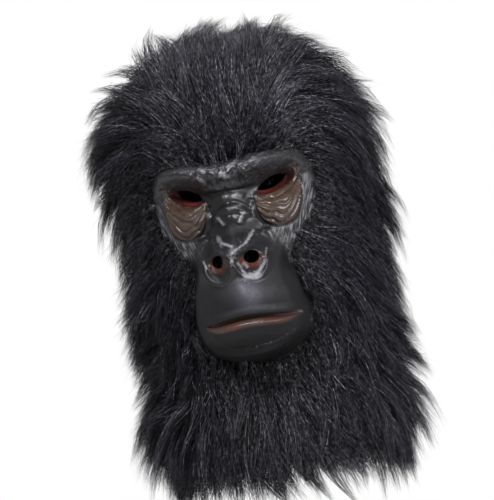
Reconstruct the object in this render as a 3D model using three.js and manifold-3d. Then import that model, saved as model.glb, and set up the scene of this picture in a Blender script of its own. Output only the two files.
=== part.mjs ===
// A full-head gorilla mask. A moulded latex face has its rim glued under the face opening of a fabric
// hood, and long pile covers the hood: a coat over the crown, sides and back, and a beard below the chin.
// Millimetres, +Z up, and the face looks along -Y. The origin is inside the crown, where it rests on the head.

import * as THREE from "three";
import { mergeVertices } from "three/addons/utils/BufferGeometryUtils.js";
import Module from "manifold-3d";

const wasm = await Module();
wasm.setup();

// Moulded face: the part of it that shows, and the rim that lies under the hood
const FACE_WIDTH = 138; // across the cheekbones
const FACE_TOP_DROP = 84; // crown to the top of the brow
const FACE_HEIGHT = 168; // top of the brow to the bottom of the chin
const MUZZLE_RISE = 40; // how far the muzzle stands out of the head form
const EDGE_FLAT = 3; // the strip inside the hood's edge that stays on the head form
const EDGE_RISE = 8; // the stretch in which the relief climbs from that strip
const RIM_WIDTH = 10;
const LATEX_WALL = 2.4;
const LATEX_GAP = 1.3; // rim to hood, for the facets of both

// Hood: the inside of the cloth, which the wearer's head fills
const CHEEK_MARGIN = 12; // cheekbone to the widest part of the hood, on each side
const HEAD_WIDTH = FACE_WIDTH + 2 * CHEEK_MARGIN;
const HEAD_DEPTH = 198;
const TEMPLE_DROP = 106; // crown to the widest section
const HOOD_DROP = 322; // crown to the hem
const CROWN_SQUARENESS = 2.3;
const SECTION_SQUARENESS = 2.3;
const CLOTH_WALL = 2.2;

// Holes through the face
const EYE_SPACING = 69;
const EYE_DROP = 28; // top of the brow to the eyes
const EYE_LENGTH = 23;
const EYE_HEIGHT = 9;
const EYE_TILT = 20; // degrees, outer corner up
const NOSTRIL_SPACING = 30;
const NOSTRIL_DROP = 87;
const NOSTRIL_WIDTH = 12;
const NOSTRIL_HEIGHT = 9;

// Pile
const PILE_GAP = 0.3; // pile to cloth
const PILE_DEPTH = 38; // at its deepest, beside the muzzle
const EDGE_DEPTH = 6; // at the face opening
const PILE_RAMP = 40; // the stretch from the opening in which it reaches its full depth
const LOCK_LENGTH = 72;
const LOCK_WIDTH = 32;
const LOCK_SPACING = 44;
const BEARD_TOP_DROP = 236; // crown to the top of the beard
const BEARD_TOP_WIDTH = 100;
const BEARD_HEM_WIDTH = 134;
const NODE_GAP = 1.1; // coat to beard, before the facets take some of it

// Facets
const TURNS = 32;
const CROWN_RINGS = 7;
const SIDE_RINGS = 8;
const PILE_TURNS = 28; // round the outer side of the pile
const PILE_CROWN_RINGS = 4;
const PILE_SIDE_RINGS = 7;
const FACE_COLUMNS = 26;
const FACE_ROWS = 34;

const rad = THREE.MathUtils.degToRad;
const mix = (a, b, share) => a + (b - a) * share;
const limit = (t, low = 0, high = 1) => Math.min(high, Math.max(low, t));

function smooth(t) {
  const c = limit(t);
  return c * c * (3 - 2 * c);
}

// A smooth curve through one column of a table, with its rows in rising order of the key.
function alongRows(rows, key, at, column) {
  const last = rows.length - 1;
  const slope = (i) => {
    if (i === 0 || i === last) return 0;
    return (rows[i + 1][column] - rows[i - 1][column]) / (rows[i + 1][key] - rows[i - 1][key]);
  };
  const where = limit(at, rows[0][key], rows[last][key]);
  let i = 0;
  while (i < last - 1 && where > rows[i + 1][key]) i += 1;
  const span = rows[i + 1][key] - rows[i][key];
  const t = (where - rows[i][key]) / span;
  const [t2, t3] = [t * t, t * t * t];
  return (
    (2 * t3 - 3 * t2 + 1) * rows[i][column] +
    (t3 - 2 * t2 + t) * span * slope(i) +
    (3 * t2 - 2 * t3) * rows[i + 1][column] +
    (t3 - t2) * span * slope(i + 1)
  );
}

// Head form

// Sections from the temples to the hem. drop is a share of that way down, side of half the head's
// width, and front and back of half its depth.
const SECTIONS = [
  { drop: 0.0, side: 1.0, front: 1.0, back: 1.0 },
  { drop: 0.17, side: 0.985, front: 1.01, back: 0.97 },
  { drop: 0.34, side: 0.935, front: 1.01, back: 0.9 },
  { drop: 0.5, side: 0.885, front: 0.98, back: 0.83 },
  { drop: 0.64, side: 0.865, front: 0.91, back: 0.79 },
  { drop: 0.78, side: 0.9, front: 0.86, back: 0.8 },
  { drop: 1.0, side: 0.99, front: 0.9, back: 0.88 },
];

// The half width and the front and back depth of the section at a drop from the crown.
function sectionAt(drop) {
  const below = (drop - TEMPLE_DROP) / (HOOD_DROP - TEMPLE_DROP);
  const dome = 1 - limit(drop / TEMPLE_DROP);
  const round = (1 - dome ** CROWN_SQUARENESS) ** (1 / CROWN_SQUARENESS);
  return {
    side: (HEAD_WIDTH / 2) * round * alongRows(SECTIONS, "drop", below, "side"),
    front: (HEAD_DEPTH / 2) * round * alongRows(SECTIONS, "drop", below, "front"),
    back: (HEAD_DEPTH / 2) * round * alongRows(SECTIONS, "drop", below, "back"),
  };
}

// How far the front of the head form stands before the axis, at a place across and a drop.
function frontDepth(x, drop) {
  const { side, front } = sectionAt(drop);
  const share = limit(Math.abs(x) / side, 0, 0.995);
  return front * (1 - share ** SECTION_SQUARENESS) ** (1 / SECTION_SQUARENESS);
}

// A point of the head form: turn is the angle from the front towards +X, and way runs from the crown,
// 0, over the temples, 1, to the hem, 2.
function headPoint(turn, way) {
  const power = 2 / CROWN_SQUARENESS;
  const drop =
    way < 1
      ? TEMPLE_DROP * (1 - Math.cos((way * Math.PI) / 2) ** power)
      : mix(TEMPLE_DROP, HOOD_DROP, way - 1);
  const { side, front, back } = sectionAt(drop);
  const bend = (c) => Math.sign(c) * Math.abs(c) ** (2 / SECTION_SQUARENESS);
  const ahead = bend(Math.cos(turn));
  return new THREE.Vector3(side * bend(Math.sin(turn)), -(ahead > 0 ? front : back) * ahead, -drop);
}

// The outward normal of the head form, with the two directions along it: across, towards a larger
// turn, and down, towards the hem.
function headFrame(turn, way) {
  const step = 0.02;
  const nearest = Math.max(way, 2 * step);
  const across = headPoint(turn + step, nearest).sub(headPoint(turn - step, nearest)).normalize();
  const down = headPoint(turn, Math.min(nearest + step, 2))
    .sub(headPoint(turn, nearest - step))
    .normalize();
  return { across, down, out: new THREE.Vector3().crossVectors(down, across).normalize() };
}

function headOffset(turn, way, distance) {
  if (way === 0) return new THREE.Vector3(0, 0, distance);
  return headPoint(turn, way).addScaledVector(headFrame(turn, way).out, distance);
}

// Face opening

// Half of the outline of the face that shows, from the middle of the brow to the middle of the chin.
// across is a share of half the face's width, and drop of its height.
const OUTLINE = [
  { across: 0.0, drop: 0.01 },
  { across: 0.42, drop: 0.0 },
  { across: 0.8, drop: 0.01 },
  { across: 0.97, drop: 0.08 },
  { across: 1.0, drop: 0.19 },
  { across: 0.94, drop: 0.31 },
  { across: 0.77, drop: 0.42 },
  { across: 0.62, drop: 0.5 },
  { across: 0.62, drop: 0.58 },
  { across: 0.68, drop: 0.67 },
  { across: 0.71, drop: 0.77 },
  { across: 0.66, drop: 0.88 },
  { across: 0.46, drop: 0.96 },
  { across: 0.0, drop: 1.0 },
];
const OUTLINE_STEPS = 64;

// The whole outline as points (x, z), grown outwards by a margin.
function openingOutline(margin) {
  const place = (row, side) =>
    new THREE.Vector2((side * row.across * FACE_WIDTH) / 2, -FACE_TOP_DROP - row.drop * FACE_HEIGHT);
  const left = OUTLINE.slice(1, -1).map((row) => place(row, -1));
  const right = OUTLINE.map((row) => place(row, 1));
  const points = [...right, ...left.reverse()];
  const curve = new THREE.CatmullRomCurve3(
    points.map((p) => new THREE.Vector3(p.x, p.y, 0)),
    true,
    "centripetal",
  );
  return curve
    .getSpacedPoints(OUTLINE_STEPS)
    .slice(0, -1)
    .map((p, i, all) => {
      const before = all[(i + all.length - 1) % all.length];
      const after = all[(i + 1) % all.length];
      const along = new THREE.Vector2(after.x - before.x, after.y - before.y).normalize();
      return new THREE.Vector2(p.x - along.y * margin, p.y + along.x * margin);
    });
}

const FACE_EDGE = openingOutline(0);

// How far a place (x, z) lies inside the outline, and negative outside it.
function insideEdge(x, z) {
  let nearest = Infinity;
  let inside = false;
  FACE_EDGE.forEach((a, i) => {
    const b = FACE_EDGE[(i + 1) % FACE_EDGE.length];
    const [ex, ez] = [b.x - a.x, b.y - a.y];
    const share = limit(((x - a.x) * ex + (z - a.y) * ez) / (ex * ex + ez * ez));
    nearest = Math.min(nearest, Math.hypot(x - a.x - share * ex, z - a.y - share * ez));
    if (a.y > z !== b.y > z && x < a.x + ((z - a.y) / ez) * ex) inside = !inside;
  });
  return inside ? nearest : -nearest;
}

// Moulded relief

// Main forms of the face. across and wide are shares of half the face's width, drop and tall of its
// height, and rise of the muzzle's. firm squares the form's shoulders, and turn tilts it, in degrees.
// A form off the middle is on both sides.
const FORMS = [
  { across: 0.0, drop: 0.74, wide: 0.7, tall: 0.27, rise: 0.98, firm: 2.2, turn: 0 }, // muzzle
  { across: 0.0, drop: 0.69, wide: 0.42, tall: 0.1, rise: 0.16, firm: 1.0, turn: 0 }, // upper lip
  { across: 0.0, drop: 0.81, wide: 0.5, tall: 0.032, rise: 0.09, firm: 1.0, turn: 0 }, // lower lip
  { across: 0.0, drop: 0.885, wide: 0.36, tall: 0.028, rise: -0.1, firm: 1.0, turn: 0 }, // chin crease
  { across: 0.0, drop: 0.94, wide: 0.33, tall: 0.04, rise: 0.06, firm: 1.0, turn: 0 }, // chin
  { across: 0.0, drop: 0.47, wide: 0.3, tall: 0.085, rise: 0.48, firm: 1.3, turn: 0 }, // nose
  { across: 0.26, drop: 0.51, wide: 0.15, tall: 0.06, rise: 0.15, firm: 1.3, turn: 0 }, // nose wings
  { across: 0.21, drop: 0.52, wide: 0.1, tall: 0.036, rise: -0.2, firm: 1.4, turn: 0 }, // nostrils
  { across: 0.0, drop: 0.28, wide: 0.17, tall: 0.14, rise: 0.3, firm: 1.0, turn: 0 }, // bridge
  { across: 0.0, drop: 0.09, wide: 0.34, tall: 0.062, rise: 0.36, firm: 1.2, turn: 0 }, // brow
  { across: 0.46, drop: 0.07, wide: 0.3, tall: 0.056, rise: 0.34, firm: 1.2, turn: 12 }, // brow ridges
  { across: 0.78, drop: 0.06, wide: 0.2, tall: 0.06, rise: 0.2, firm: 1.0, turn: 0 }, // brow ends
  { across: 0.53, drop: 0.175, wide: 0.28, tall: 0.07, rise: -0.3, firm: 1.3, turn: 20 }, // sockets
  { across: 0.54, drop: 0.28, wide: 0.24, tall: 0.095, rise: 0.18, firm: 1.5, turn: 0 }, // eye bags
];

// The relief over the head form at a place across and a drop below the crown.
function reliefAt(x, drop) {
  const share = limit((insideEdge(x, -drop) - EDGE_FLAT) / EDGE_RISE);
  if (share === 0) return 0;
  const depth = (form, side) => {
    const dx = side * x - (form.across * FACE_WIDTH) / 2;
    const dz = drop - FACE_TOP_DROP - form.drop * FACE_HEIGHT;
    const [c, s] = [Math.cos(rad(form.turn)), Math.sin(rad(form.turn))];
    const along = (dx * c - dz * s) / ((form.wide * FACE_WIDTH) / 2);
    const over = (dx * s + dz * c) / (form.tall * FACE_HEIGHT);
    return form.rise * MUZZLE_RISE * Math.exp(-((along * along + over * over) ** form.firm));
  };
  const sides = (form) => (form.across === 0 ? depth(form, 1) : depth(form, 1) + depth(form, -1));
  return smooth(share) * FORMS.reduce((sum, form) => sum + sides(form), 0);
}

// The longer way through a wall, measured along Y, where the surface leans.
const MOST_LEAN = 4.5;

function lean(depth, x, drop) {
  const step = 0.5;
  const across = (depth(x + step, drop) - depth(x - step, drop)) / (2 * step);
  const down = (depth(x, drop + step) - depth(x, drop - step)) / (2 * step);
  return Math.min(Math.hypot(1, across, down), MOST_LEAN);
}

function faceDepth(x, drop) {
  return frontDepth(x, drop) - LATEX_GAP * lean(frontDepth, x, drop) + reliefAt(x, drop);
}

// Face grid

// Half width of the moulding from its top edge, -1, to its bottom edge, 1, as a share of half the
// face's width. Its corners are rounded after this.
const MOULDING = [
  { height: -1.0, half: 1.2 },
  { height: -0.6, half: 1.17 },
  { height: -0.2, half: 1.08 },
  { height: 0.2, half: 0.97 },
  { height: 0.6, half: 0.92 },
  { height: 1.0, half: 0.74 },
];
const CORNER_ROUND = 0.2;

// The place (x, drop) of the grid's u and v, each from -1 to 1.
function facePlace(u, v) {
  const across = u * Math.sqrt(1 - CORNER_ROUND * v * v);
  const height = v * Math.sqrt(1 - CORNER_ROUND * u * u);
  const top = FACE_TOP_DROP - RIM_WIDTH;
  const bottom = FACE_TOP_DROP + FACE_HEIGHT + RIM_WIDTH;
  return {
    x: (across * alongRows(MOULDING, "height", height, "half") * FACE_WIDTH) / 2,
    drop: mix(top, bottom, (height + 1) / 2),
  };
}

const EYE = {
  across: EYE_SPACING / 2,
  drop: FACE_TOP_DROP + EYE_DROP,
  length: EYE_LENGTH,
  height: EYE_HEIGHT,
  tilt: EYE_TILT,
  pinch: 0.35,
};
const NOSTRIL = {
  across: NOSTRIL_SPACING / 2,
  drop: FACE_TOP_DROP + NOSTRIL_DROP,
  length: NOSTRIL_WIDTH,
  height: NOSTRIL_HEIGHT,
  tilt: 0,
  pinch: 0,
};
const HOLES = [EYE, NOSTRIL].flatMap((hole) => [
  { ...hole, side: 1 },
  { ...hole, side: -1 },
]);
const HOLE_REACH = 2.1; // how far a hole bends the grid, in its own half sizes

// The point of a hole's outline towards a point (a, b) on the edge of a square.
function holeEdge(hole, a, b) {
  const round = [a * Math.sqrt(1 - (b * b) / 2), b * Math.sqrt(1 - (a * a) / 2)];
  const along = (hole.length / 2) * round[0];
  const over = (hole.height / 2) * round[1] * (1 - hole.pinch * round[0] * round[0]);
  const [c, s] = [Math.cos(rad(hole.tilt)), Math.sin(rad(hole.tilt)) * hole.side];
  return { x: hole.side * hole.across + along * c + over * s, drop: hole.drop - along * s + over * c };
}

// The block of cells that each hole takes out of the grid.
function holeBlocks(columns, rows) {
  const at = (i, j) => facePlace(-1 + (2 * i) / columns, -1 + (2 * j) / rows);
  return HOLES.map((hole) => {
    let best = { distance: Infinity };
    for (let j = 1; j < rows; j += 1) {
      for (let i = 1; i < columns; i += 1) {
        const p = at(i, j);
        const distance = Math.hypot(p.x - hole.side * hole.across, p.drop - hole.drop);
        if (distance < best.distance) best = { i, j, distance };
      }
    }
    const cell = [
      at(best.i + 1, best.j).x - at(best.i, best.j).x,
      at(best.i, best.j + 1).drop - at(best.i, best.j).drop,
    ];
    return {
      hole,
      i: best.i,
      j: best.j,
      halfColumns: Math.max(1, Math.round(hole.length / 2 / cell[0])),
      halfRows: Math.max(1, Math.round(hole.height / 2 / cell[1])),
    };
  });
}

// The face's places, with the grid bent round each hole, and the two triangles of each cell
// left, split along the diagonal that changes depth less.
function faceGrid(columns, rows) {
  const blocks = holeBlocks(columns, rows);
  const squares = (i, j) =>
    blocks.map((block) => ({
      block,
      a: (i - block.i) / block.halfColumns,
      b: (j - block.j) / block.halfRows,
    }));
  const at = (i, j) => facePlace(-1 + (2 * i) / columns, -1 + (2 * j) / rows);
  const places = [];
  for (let j = 0; j <= rows; j += 1) {
    for (let i = 0; i <= columns; i += 1) {
      const place = at(i, j);
      for (const { block, a, b } of squares(i, j)) {
        const far = Math.max(Math.abs(a), Math.abs(b));
        if (far < 0.999 || far >= HOLE_REACH) continue;
        const edge = holeEdge(block.hole, a / far, b / far);
        const was = at(block.i + (block.halfColumns * a) / far, block.j + (block.halfRows * b) / far);
        const share = 1 - smooth((far - 1) / (HOLE_REACH - 1));
        place.x += (edge.x - was.x) * share;
        place.drop += (edge.drop - was.drop) * share;
      }
      places.push(place);
    }
  }
  const depths = places.map(({ x, drop }) => faceDepth(x, drop));
  const faces = [];
  for (let j = 0; j < rows; j += 1) {
    for (let i = 0; i < columns; i += 1) {
      const holed = squares(i + 0.5, j + 0.5).some(({ a, b }) => Math.max(Math.abs(a), Math.abs(b)) < 1);
      if (holed) continue;
      const [p, q] = [j * (columns + 1) + i, (j + 1) * (columns + 1) + i];
      if (Math.abs(depths[p] - depths[q + 1]) < Math.abs(depths[q] - depths[p + 1])) {
        faces.push([p, q, q + 1], [p, q + 1, p + 1]);
      } else {
        faces.push([p, q, p + 1], [q, q + 1, p + 1]);
      }
    }
  }
  return { places, faces };
}

// Solids

// A wall between two surfaces with the same triangles, closed along every free edge.
function wallSolid(outer, inner, faces) {
  const count = outer.length;
  const open = new Set(faces.flatMap(([a, b, c]) => [`${a} ${b}`, `${b} ${c}`, `${c} ${a}`]));
  const triangles = faces.flatMap(([a, b, c]) => [
    [a, b, c],
    [c + count, b + count, a + count],
  ]);
  for (const edge of open) {
    const [a, b] = edge.split(" ").map(Number);
    if (open.has(`${b} ${a}`)) continue;
    triangles.push([b, a, a + count], [b, a + count, b + count]);
  }
  return solidFrom([...outer, ...inner], triangles);
}

// A solid from points and triangles, with the points that no triangle uses left out.
function solidFrom(points, triangles) {
  const geometry = new THREE.BufferGeometry();
  const corners = triangles.flat().flatMap((i) => points[i].toArray());
  geometry.setAttribute("position", new THREE.BufferAttribute(new Float32Array(corners), 3));
  const merged = mergeVertices(geometry, 1e-4);
  return new wasm.Manifold(
    new wasm.Mesh({
      numProp: 3,
      vertProperties: merged.attributes.position.array,
      triVerts: new Uint32Array(merged.index.array),
    }),
  );
}

function geometrySolid(geometry) {
  geometry.deleteAttribute("normal");
  geometry.deleteAttribute("uv");
  const merged = mergeVertices(geometry, 1e-4);
  return new wasm.Manifold(
    new wasm.Mesh({
      numProp: 3,
      vertProperties: merged.attributes.position.array,
      triVerts: new Uint32Array(merged.index.array),
    }),
  );
}

// A prism of an outline (x, z), from near the axis out past the front of everything.
function frontPrism(outline) {
  const shape = new THREE.Shape(outline);
  const start = HEAD_DEPTH / 20;
  const geometry = new THREE.ExtrudeGeometry(shape, { depth: 2 * HEAD_DEPTH, bevelEnabled: false });
  geometry.rotateX(Math.PI / 2);
  geometry.translate(0, -start, 0);
  return geometrySolid(geometry);
}

// The head form's facets: the pole, then each ring from the crown to the hem.
function headRings(turns, crownRings, sideRings) {
  const ways = [];
  for (let r = 1; r <= crownRings; r += 1) ways.push(r / crownRings);
  for (let r = 1; r <= sideRings; r += 1) ways.push(1 + r / sideRings);
  const places = [{ turn: 0, way: 0 }];
  for (const way of ways) {
    for (let k = 0; k < turns; k += 1) places.push({ turn: (2 * Math.PI * k) / turns, way });
  }
  const faces = [];
  for (let k = 0; k < turns; k += 1) {
    const next = (k + 1) % turns;
    faces.push([0, 1 + k, 1 + next]);
    for (let r = 0; r < ways.length - 1; r += 1) {
      const [upper, lower] = [1 + r * turns, 1 + (r + 1) * turns];
      faces.push([upper + k, lower + k, lower + next], [upper + k, lower + next, upper + next]);
    }
  }
  const surface = (distance) => places.map(({ turn, way }) => headOffset(turn, way, distance(turn, way)));
  return { turns, faces, surface };
}

const CLOTH_RINGS = headRings(TURNS, CROWN_RINGS, SIDE_RINGS);
const PILE_RINGS = headRings(PILE_TURNS, PILE_CROWN_RINGS, PILE_SIDE_RINGS);

// The head form filled solid, out to a distance from it, with a flat fan across the hem.
function headSolid(rings, distance) {
  const points = rings.surface(distance);
  const hem = points.length - rings.turns;
  const middle = points.length;
  points.push(new THREE.Vector3(0, 0, points[hem].z));
  const fan = Array.from({ length: rings.turns }, (_, k) => [middle, hem + ((k + 1) % rings.turns), hem + k]);
  return solidFrom(points, [...rings.faces, ...fan]);
}

// The biggest of the bodies that a cut leaves.
function mainBody(solid) {
  return solid.decompose().sort((a, b) => b.volume() - a.volume())[0];
}

function meshOf(name, solid, look) {
  const { numProp, vertProperties, triVerts } = solid.getMesh();
  const count = vertProperties.length / numProp;
  const positions = new Float32Array(3 * count);
  for (let i = 0; i < count; i += 1) {
    positions.set(vertProperties.subarray(i * numProp, i * numProp + 3), 3 * i);
  }
  const geometry = new THREE.BufferGeometry();
  geometry.setAttribute("position", new THREE.BufferAttribute(positions, 3));
  geometry.setIndex(new THREE.BufferAttribute(triVerts, 1));
  geometry.computeVertexNormals();
  const mesh = new THREE.Mesh(geometry, new THREE.MeshStandardMaterial(look));
  mesh.name = name;
  return mesh;
}

// Face and hood

function faceShell() {
  const { places, faces } = faceGrid(FACE_COLUMNS, FACE_ROWS);
  const outer = places.map(({ x, drop }) => new THREE.Vector3(x, -faceDepth(x, drop), -drop));
  const inner = places.map(({ x, drop }) => {
    const depth = faceDepth(x, drop) - LATEX_WALL * lean(faceDepth, x, drop);
    return new THREE.Vector3(x, -depth, -drop);
  });
  return wallSolid(outer, inner, faces);
}

function hoodCloth() {
  const cloth = wallSolid(
    CLOTH_RINGS.surface(() => CLOTH_WALL),
    CLOTH_RINGS.surface(() => 0),
    CLOTH_RINGS.faces,
  );
  return cloth.subtract(frontPrism(openingOutline(0)));
}

// Pile

// The way the pile lies: away from the middle of the face and down, more so at the back and the beard.
function pileFlow(point, out) {
  const middle = new THREE.Vector3(0, -HEAD_DEPTH / 2, -FACE_TOP_DROP - 0.45 * FACE_HEIGHT);
  const behind = smooth((point.y + HEAD_DEPTH / 4) / (HEAD_DEPTH / 2));
  const below = smooth((-point.z - FACE_TOP_DROP - 0.6 * FACE_HEIGHT) / (0.7 * FACE_HEIGHT));
  const flow = point.clone().sub(middle).normalize().multiplyScalar(mix(1, 0.35, behind));
  flow.z -= mix(0.3, 0.9, Math.max(behind, below));
  return flow.addScaledVector(out, -flow.dot(out)).normalize();
}

// Depth of the pile's solid part from the crown, way 0, past the temples, 1, to the hem, 2, as a share
// of its full depth.
const PILE = [
  { way: 0.0, depth: 0.3 },
  { way: 0.3, depth: 0.44 },
  { way: 0.5, depth: 0.64 },
  { way: 0.7, depth: 0.75 },
  { way: 1.0, depth: 0.8 },
  { way: 1.5, depth: 1.0 },
  { way: 1.75, depth: 0.94 },
  { way: 2.0, depth: 0.62 },
];

// How far the solid part of the pile reaches from the head form. It is shallower in front and behind.
function pileReach(turn, way) {
  const p = headPoint(turn, way);
  const away = p.y < 0 ? -insideEdge(p.x, p.z) : PILE_RAMP;
  const level = 0.8 + 0.2 * Math.sin(turn) ** 2;
  const lumps = 1 + 0.1 * Math.sin(7 * turn + 5 * way) * Math.sin(9 * way - 2 * turn);
  const full = PILE_DEPTH * alongRows(PILE, "way", way, "depth") * level * lumps;
  return CLOTH_WALL + PILE_GAP + mix(Math.min(EDGE_DEPTH, full), full, smooth(away / PILE_RAMP));
}

// A number from 0 to 1 that looks random and is the same each time.
function scatter(n) {
  const wave = Math.sin(n * 12.9898 + 4.1) * 43758.5453;
  return wave - Math.floor(wave);
}

// Rings of a lock along its length, each half as wide as a share of half its width.
const LOCK_RINGS = [
  { along: 0.0, half: 0.8 },
  { along: 0.35, half: 1.0 },
  { along: 0.72, half: 0.6 },
];

// A pointed lock of pile with a flat underside and a ridge. It leaves the pile at a slant and bends back
// towards the head.
function lockSolid({ turn, way, length, width, lift, veer, grow }) {
  const curl = mix(0.36, 0.14, smooth(way));
  const { out } = headFrame(turn, way);
  const root = headOffset(turn, way, Math.max(pileReach(turn, way) - 0.25 * width, CLOTH_WALL + 2));
  const flow = pileFlow(root, out).applyAxisAngle(out, veer);
  const aim = flow.multiplyScalar(Math.cos(lift)).addScaledVector(out, Math.sin(lift));
  const side = new THREE.Vector3().crossVectors(out, aim).normalize();
  const ridge = new THREE.Vector3().crossVectors(aim, side);
  const at = (share) => {
    const p = root.clone().addScaledVector(aim, share * (length + grow));
    return p.addScaledVector(out, -curl * length * share * share);
  };
  const points = LOCK_RINGS.flatMap(({ along, half }) => {
    const reach = (half * width) / 2 + grow;
    return [
      at(along).addScaledVector(side, reach).addScaledVector(ridge, -0.3 * reach),
      at(along).addScaledVector(side, -reach).addScaledVector(ridge, -0.3 * reach),
      at(along).addScaledVector(ridge, 0.6 * reach),
    ];
  });
  points.push(at(1));
  const triangles = [[0, 1, 2]];
  for (let k = 0; k < 3; k += 1) {
    const next = (k + 1) % 3;
    for (let r = 0; r < LOCK_RINGS.length - 1; r += 1) {
      const [a, b] = [3 * r, 3 * (r + 1)];
      triangles.push([a + next, a + k, b + k], [a + next, b + k, b + next]);
    }
    const last = 3 * (LOCK_RINGS.length - 1);
    triangles.push([last + next, last + k, points.length - 1]);
  }
  return solidFrom(points, triangles);
}

// Rows of locks round the head, staggered. keep says where a lock grows.
function locks({ ways, length, grow, keep }) {
  const made = [];
  ways.forEach((way, row) => {
    const { side, front, back } = sectionAt(-headPoint(0, way).z);
    const girth = Math.PI * (side + (front + back) / 2);
    const count = Math.max(5, Math.round(girth / LOCK_SPACING));
    for (let k = 0; k < count; k += 1) {
      const turn = ((k + (row % 2) / 2) / count) * 2 * Math.PI;
      const seed = 31 * row + k;
      const low = smooth(way);
      const rise = mix(0.4, 1, low) * mix(1, 0.35, smooth(2 * way - 2.8));
      if (!keep(headPoint(turn, way))) continue;
      made.push(
        lockSolid({
          turn,
          way,
          length: length * mix(0.7, 1, low) * mix(0.85, 1.15, scatter(seed)),
          width: LOCK_WIDTH * mix(0.85, 1.15, scatter(seed + 0.3)),
          lift: rad(rise * mix(12, 24, scatter(seed + 0.6))),
          veer: rad(mix(-14, 14, scatter(seed + 0.9))),
          grow,
        }),
      );
    }
  });
  return made;
}

const clearOfFace = (p) => p.y > 0 || insideEdge(p.x, p.z) < -14;

// Whether a place is on the front of the hood below the chin, where the beard grows.
function inBeard(p) {
  const down = (-p.z - BEARD_TOP_DROP) / (HOOD_DROP - BEARD_TOP_DROP);
  return p.y < 0 && down > 0 && Math.abs(p.x) < mix(BEARD_TOP_WIDTH, BEARD_HEM_WIDTH, down) / 2;
}

function beardPrism(grow) {
  const [top, hem] = [-BEARD_TOP_DROP + grow, -HOOD_DROP - LOCK_LENGTH];
  const [atTop, atHem] = [BEARD_TOP_WIDTH / 2 + grow, BEARD_HEM_WIDTH / 2 + grow];
  return frontPrism([
    new THREE.Vector2(-atHem, hem),
    new THREE.Vector2(atHem, hem),
    new THREE.Vector2(atHem, -HOOD_DROP),
    new THREE.Vector2(atTop, top),
    new THREE.Vector2(-atTop, top),
    new THREE.Vector2(-atHem, -HOOD_DROP),
  ]);
}

const CLOTH_ROOM = headSolid(CLOTH_RINGS, () => CLOTH_WALL + PILE_GAP);
const FACE_ROOM = frontPrism(openingOutline(PILE_GAP));

// The beard, or, with a grow, the room that it takes.
function beardPile(grow) {
  const filled = headSolid(PILE_RINGS, (turn, way) => pileReach(turn, way) + grow);
  const body = filled.add(filled.translate([0, 0, -grow])).intersect(beardPrism(grow));
  const tufts = locks({
    ways: [1.64, 1.77, 1.9],
    length: 0.75 * LOCK_LENGTH,
    grow,
    keep: (p) => inBeard(p) && clearOfFace(p),
  });
  return wasm.Manifold.union([body, ...tufts]);
}

function coatPile() {
  const tufts = locks({
    ways: [0.14, 0.38, 0.62, 0.86, 1.06, 1.24, 1.42, 1.6, 1.78],
    length: LOCK_LENGTH,
    grow: 0,
    keep: (p) => clearOfFace(p) && !inBeard(p),
  });
  const body = headSolid(PILE_RINGS, pileReach);
  return wasm.Manifold.union([body, ...tufts]).subtract(beardPile(NODE_GAP));
}

const dressed = (pile) => mainBody(pile.subtract(CLOTH_ROOM).subtract(FACE_ROOM));

const LATEX_LOOK = { color: 0x2c2d2f, roughness: 0.42, metalness: 0 };
const CLOTH_LOOK = { color: 0x18181b, roughness: 0.95, metalness: 0 };
const PILE_LOOK = { color: 0x1d1d22, roughness: 0.6, metalness: 0 };

const mask = new THREE.Group();
mask.add(
  meshOf("face", faceShell(), LATEX_LOOK),
  meshOf("hood", hoodCloth(), CLOTH_LOOK),
  meshOf("coat", dressed(coatPile()), PILE_LOOK),
  meshOf("beard", dressed(beardPile(0)), PILE_LOOK),
);

export default mask;
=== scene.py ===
import math

import bpy
import numpy as np
from mathutils import Matrix, Vector


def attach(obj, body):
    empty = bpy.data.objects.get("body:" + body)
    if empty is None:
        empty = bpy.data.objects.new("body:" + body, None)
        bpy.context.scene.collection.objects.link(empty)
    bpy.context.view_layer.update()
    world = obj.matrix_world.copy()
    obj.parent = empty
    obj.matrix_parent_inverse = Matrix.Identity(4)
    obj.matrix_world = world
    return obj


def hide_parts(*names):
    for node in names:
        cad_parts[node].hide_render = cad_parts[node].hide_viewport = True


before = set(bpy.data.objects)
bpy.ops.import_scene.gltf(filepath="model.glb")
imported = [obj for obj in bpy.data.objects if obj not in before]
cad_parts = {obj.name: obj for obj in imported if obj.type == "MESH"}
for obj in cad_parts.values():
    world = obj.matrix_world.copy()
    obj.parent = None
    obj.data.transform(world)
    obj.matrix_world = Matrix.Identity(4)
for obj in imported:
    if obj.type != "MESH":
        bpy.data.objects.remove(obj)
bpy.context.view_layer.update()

# Hood: a cap of knitted backing cloth, sewn to the shape of a head and neck, that carries the pile. It is
# open in front for the face and below for the neck, and its bottom edge is turned up and stitched. The
# face and the pile are laid out on the same form, in millimetres, with the crown's inside at the origin.
HALF_WIDTH, HALF_DEPTH = 81.0, 99.0
TEMPLE_DROP, HOOD_DROP = 106.0, 322.0
CROWN_POWER, SECTION_POWER = 2.3, 2.3
CLOTH_WALL = 2.2
SECTION_DROP = [0.0, 0.17, 0.34, 0.5, 0.64, 0.78, 1.0]
SECTION_SIDE = [1.0, 0.985, 0.935, 0.885, 0.865, 0.9, 0.99]
SECTION_FRONT = [1.0, 1.01, 1.01, 0.98, 0.91, 0.86, 0.9]
SECTION_BACK = [1.0, 0.97, 0.9, 0.83, 0.79, 0.8, 0.88]
HOOD_TURNS, HOOD_ROWS, POLE_WAY = 112, 84, 0.004
HEM_RISE, HEM_WALL, HEM_FOLD = 12.0, 1.6, 1.5
FACE_TOP, FACE_HEIGHT, HALF_FACE = 84.0, 168.0, 69.0
EDGE_POINTS, EDGE_SUBSTEPS = 128, 24
OUTLINE_ACROSS = [0.0, 0.42, 0.8, 0.97, 1.0, 0.94, 0.77, 0.62, 0.62, 0.68, 0.71, 0.66, 0.46, 0.0]
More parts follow.
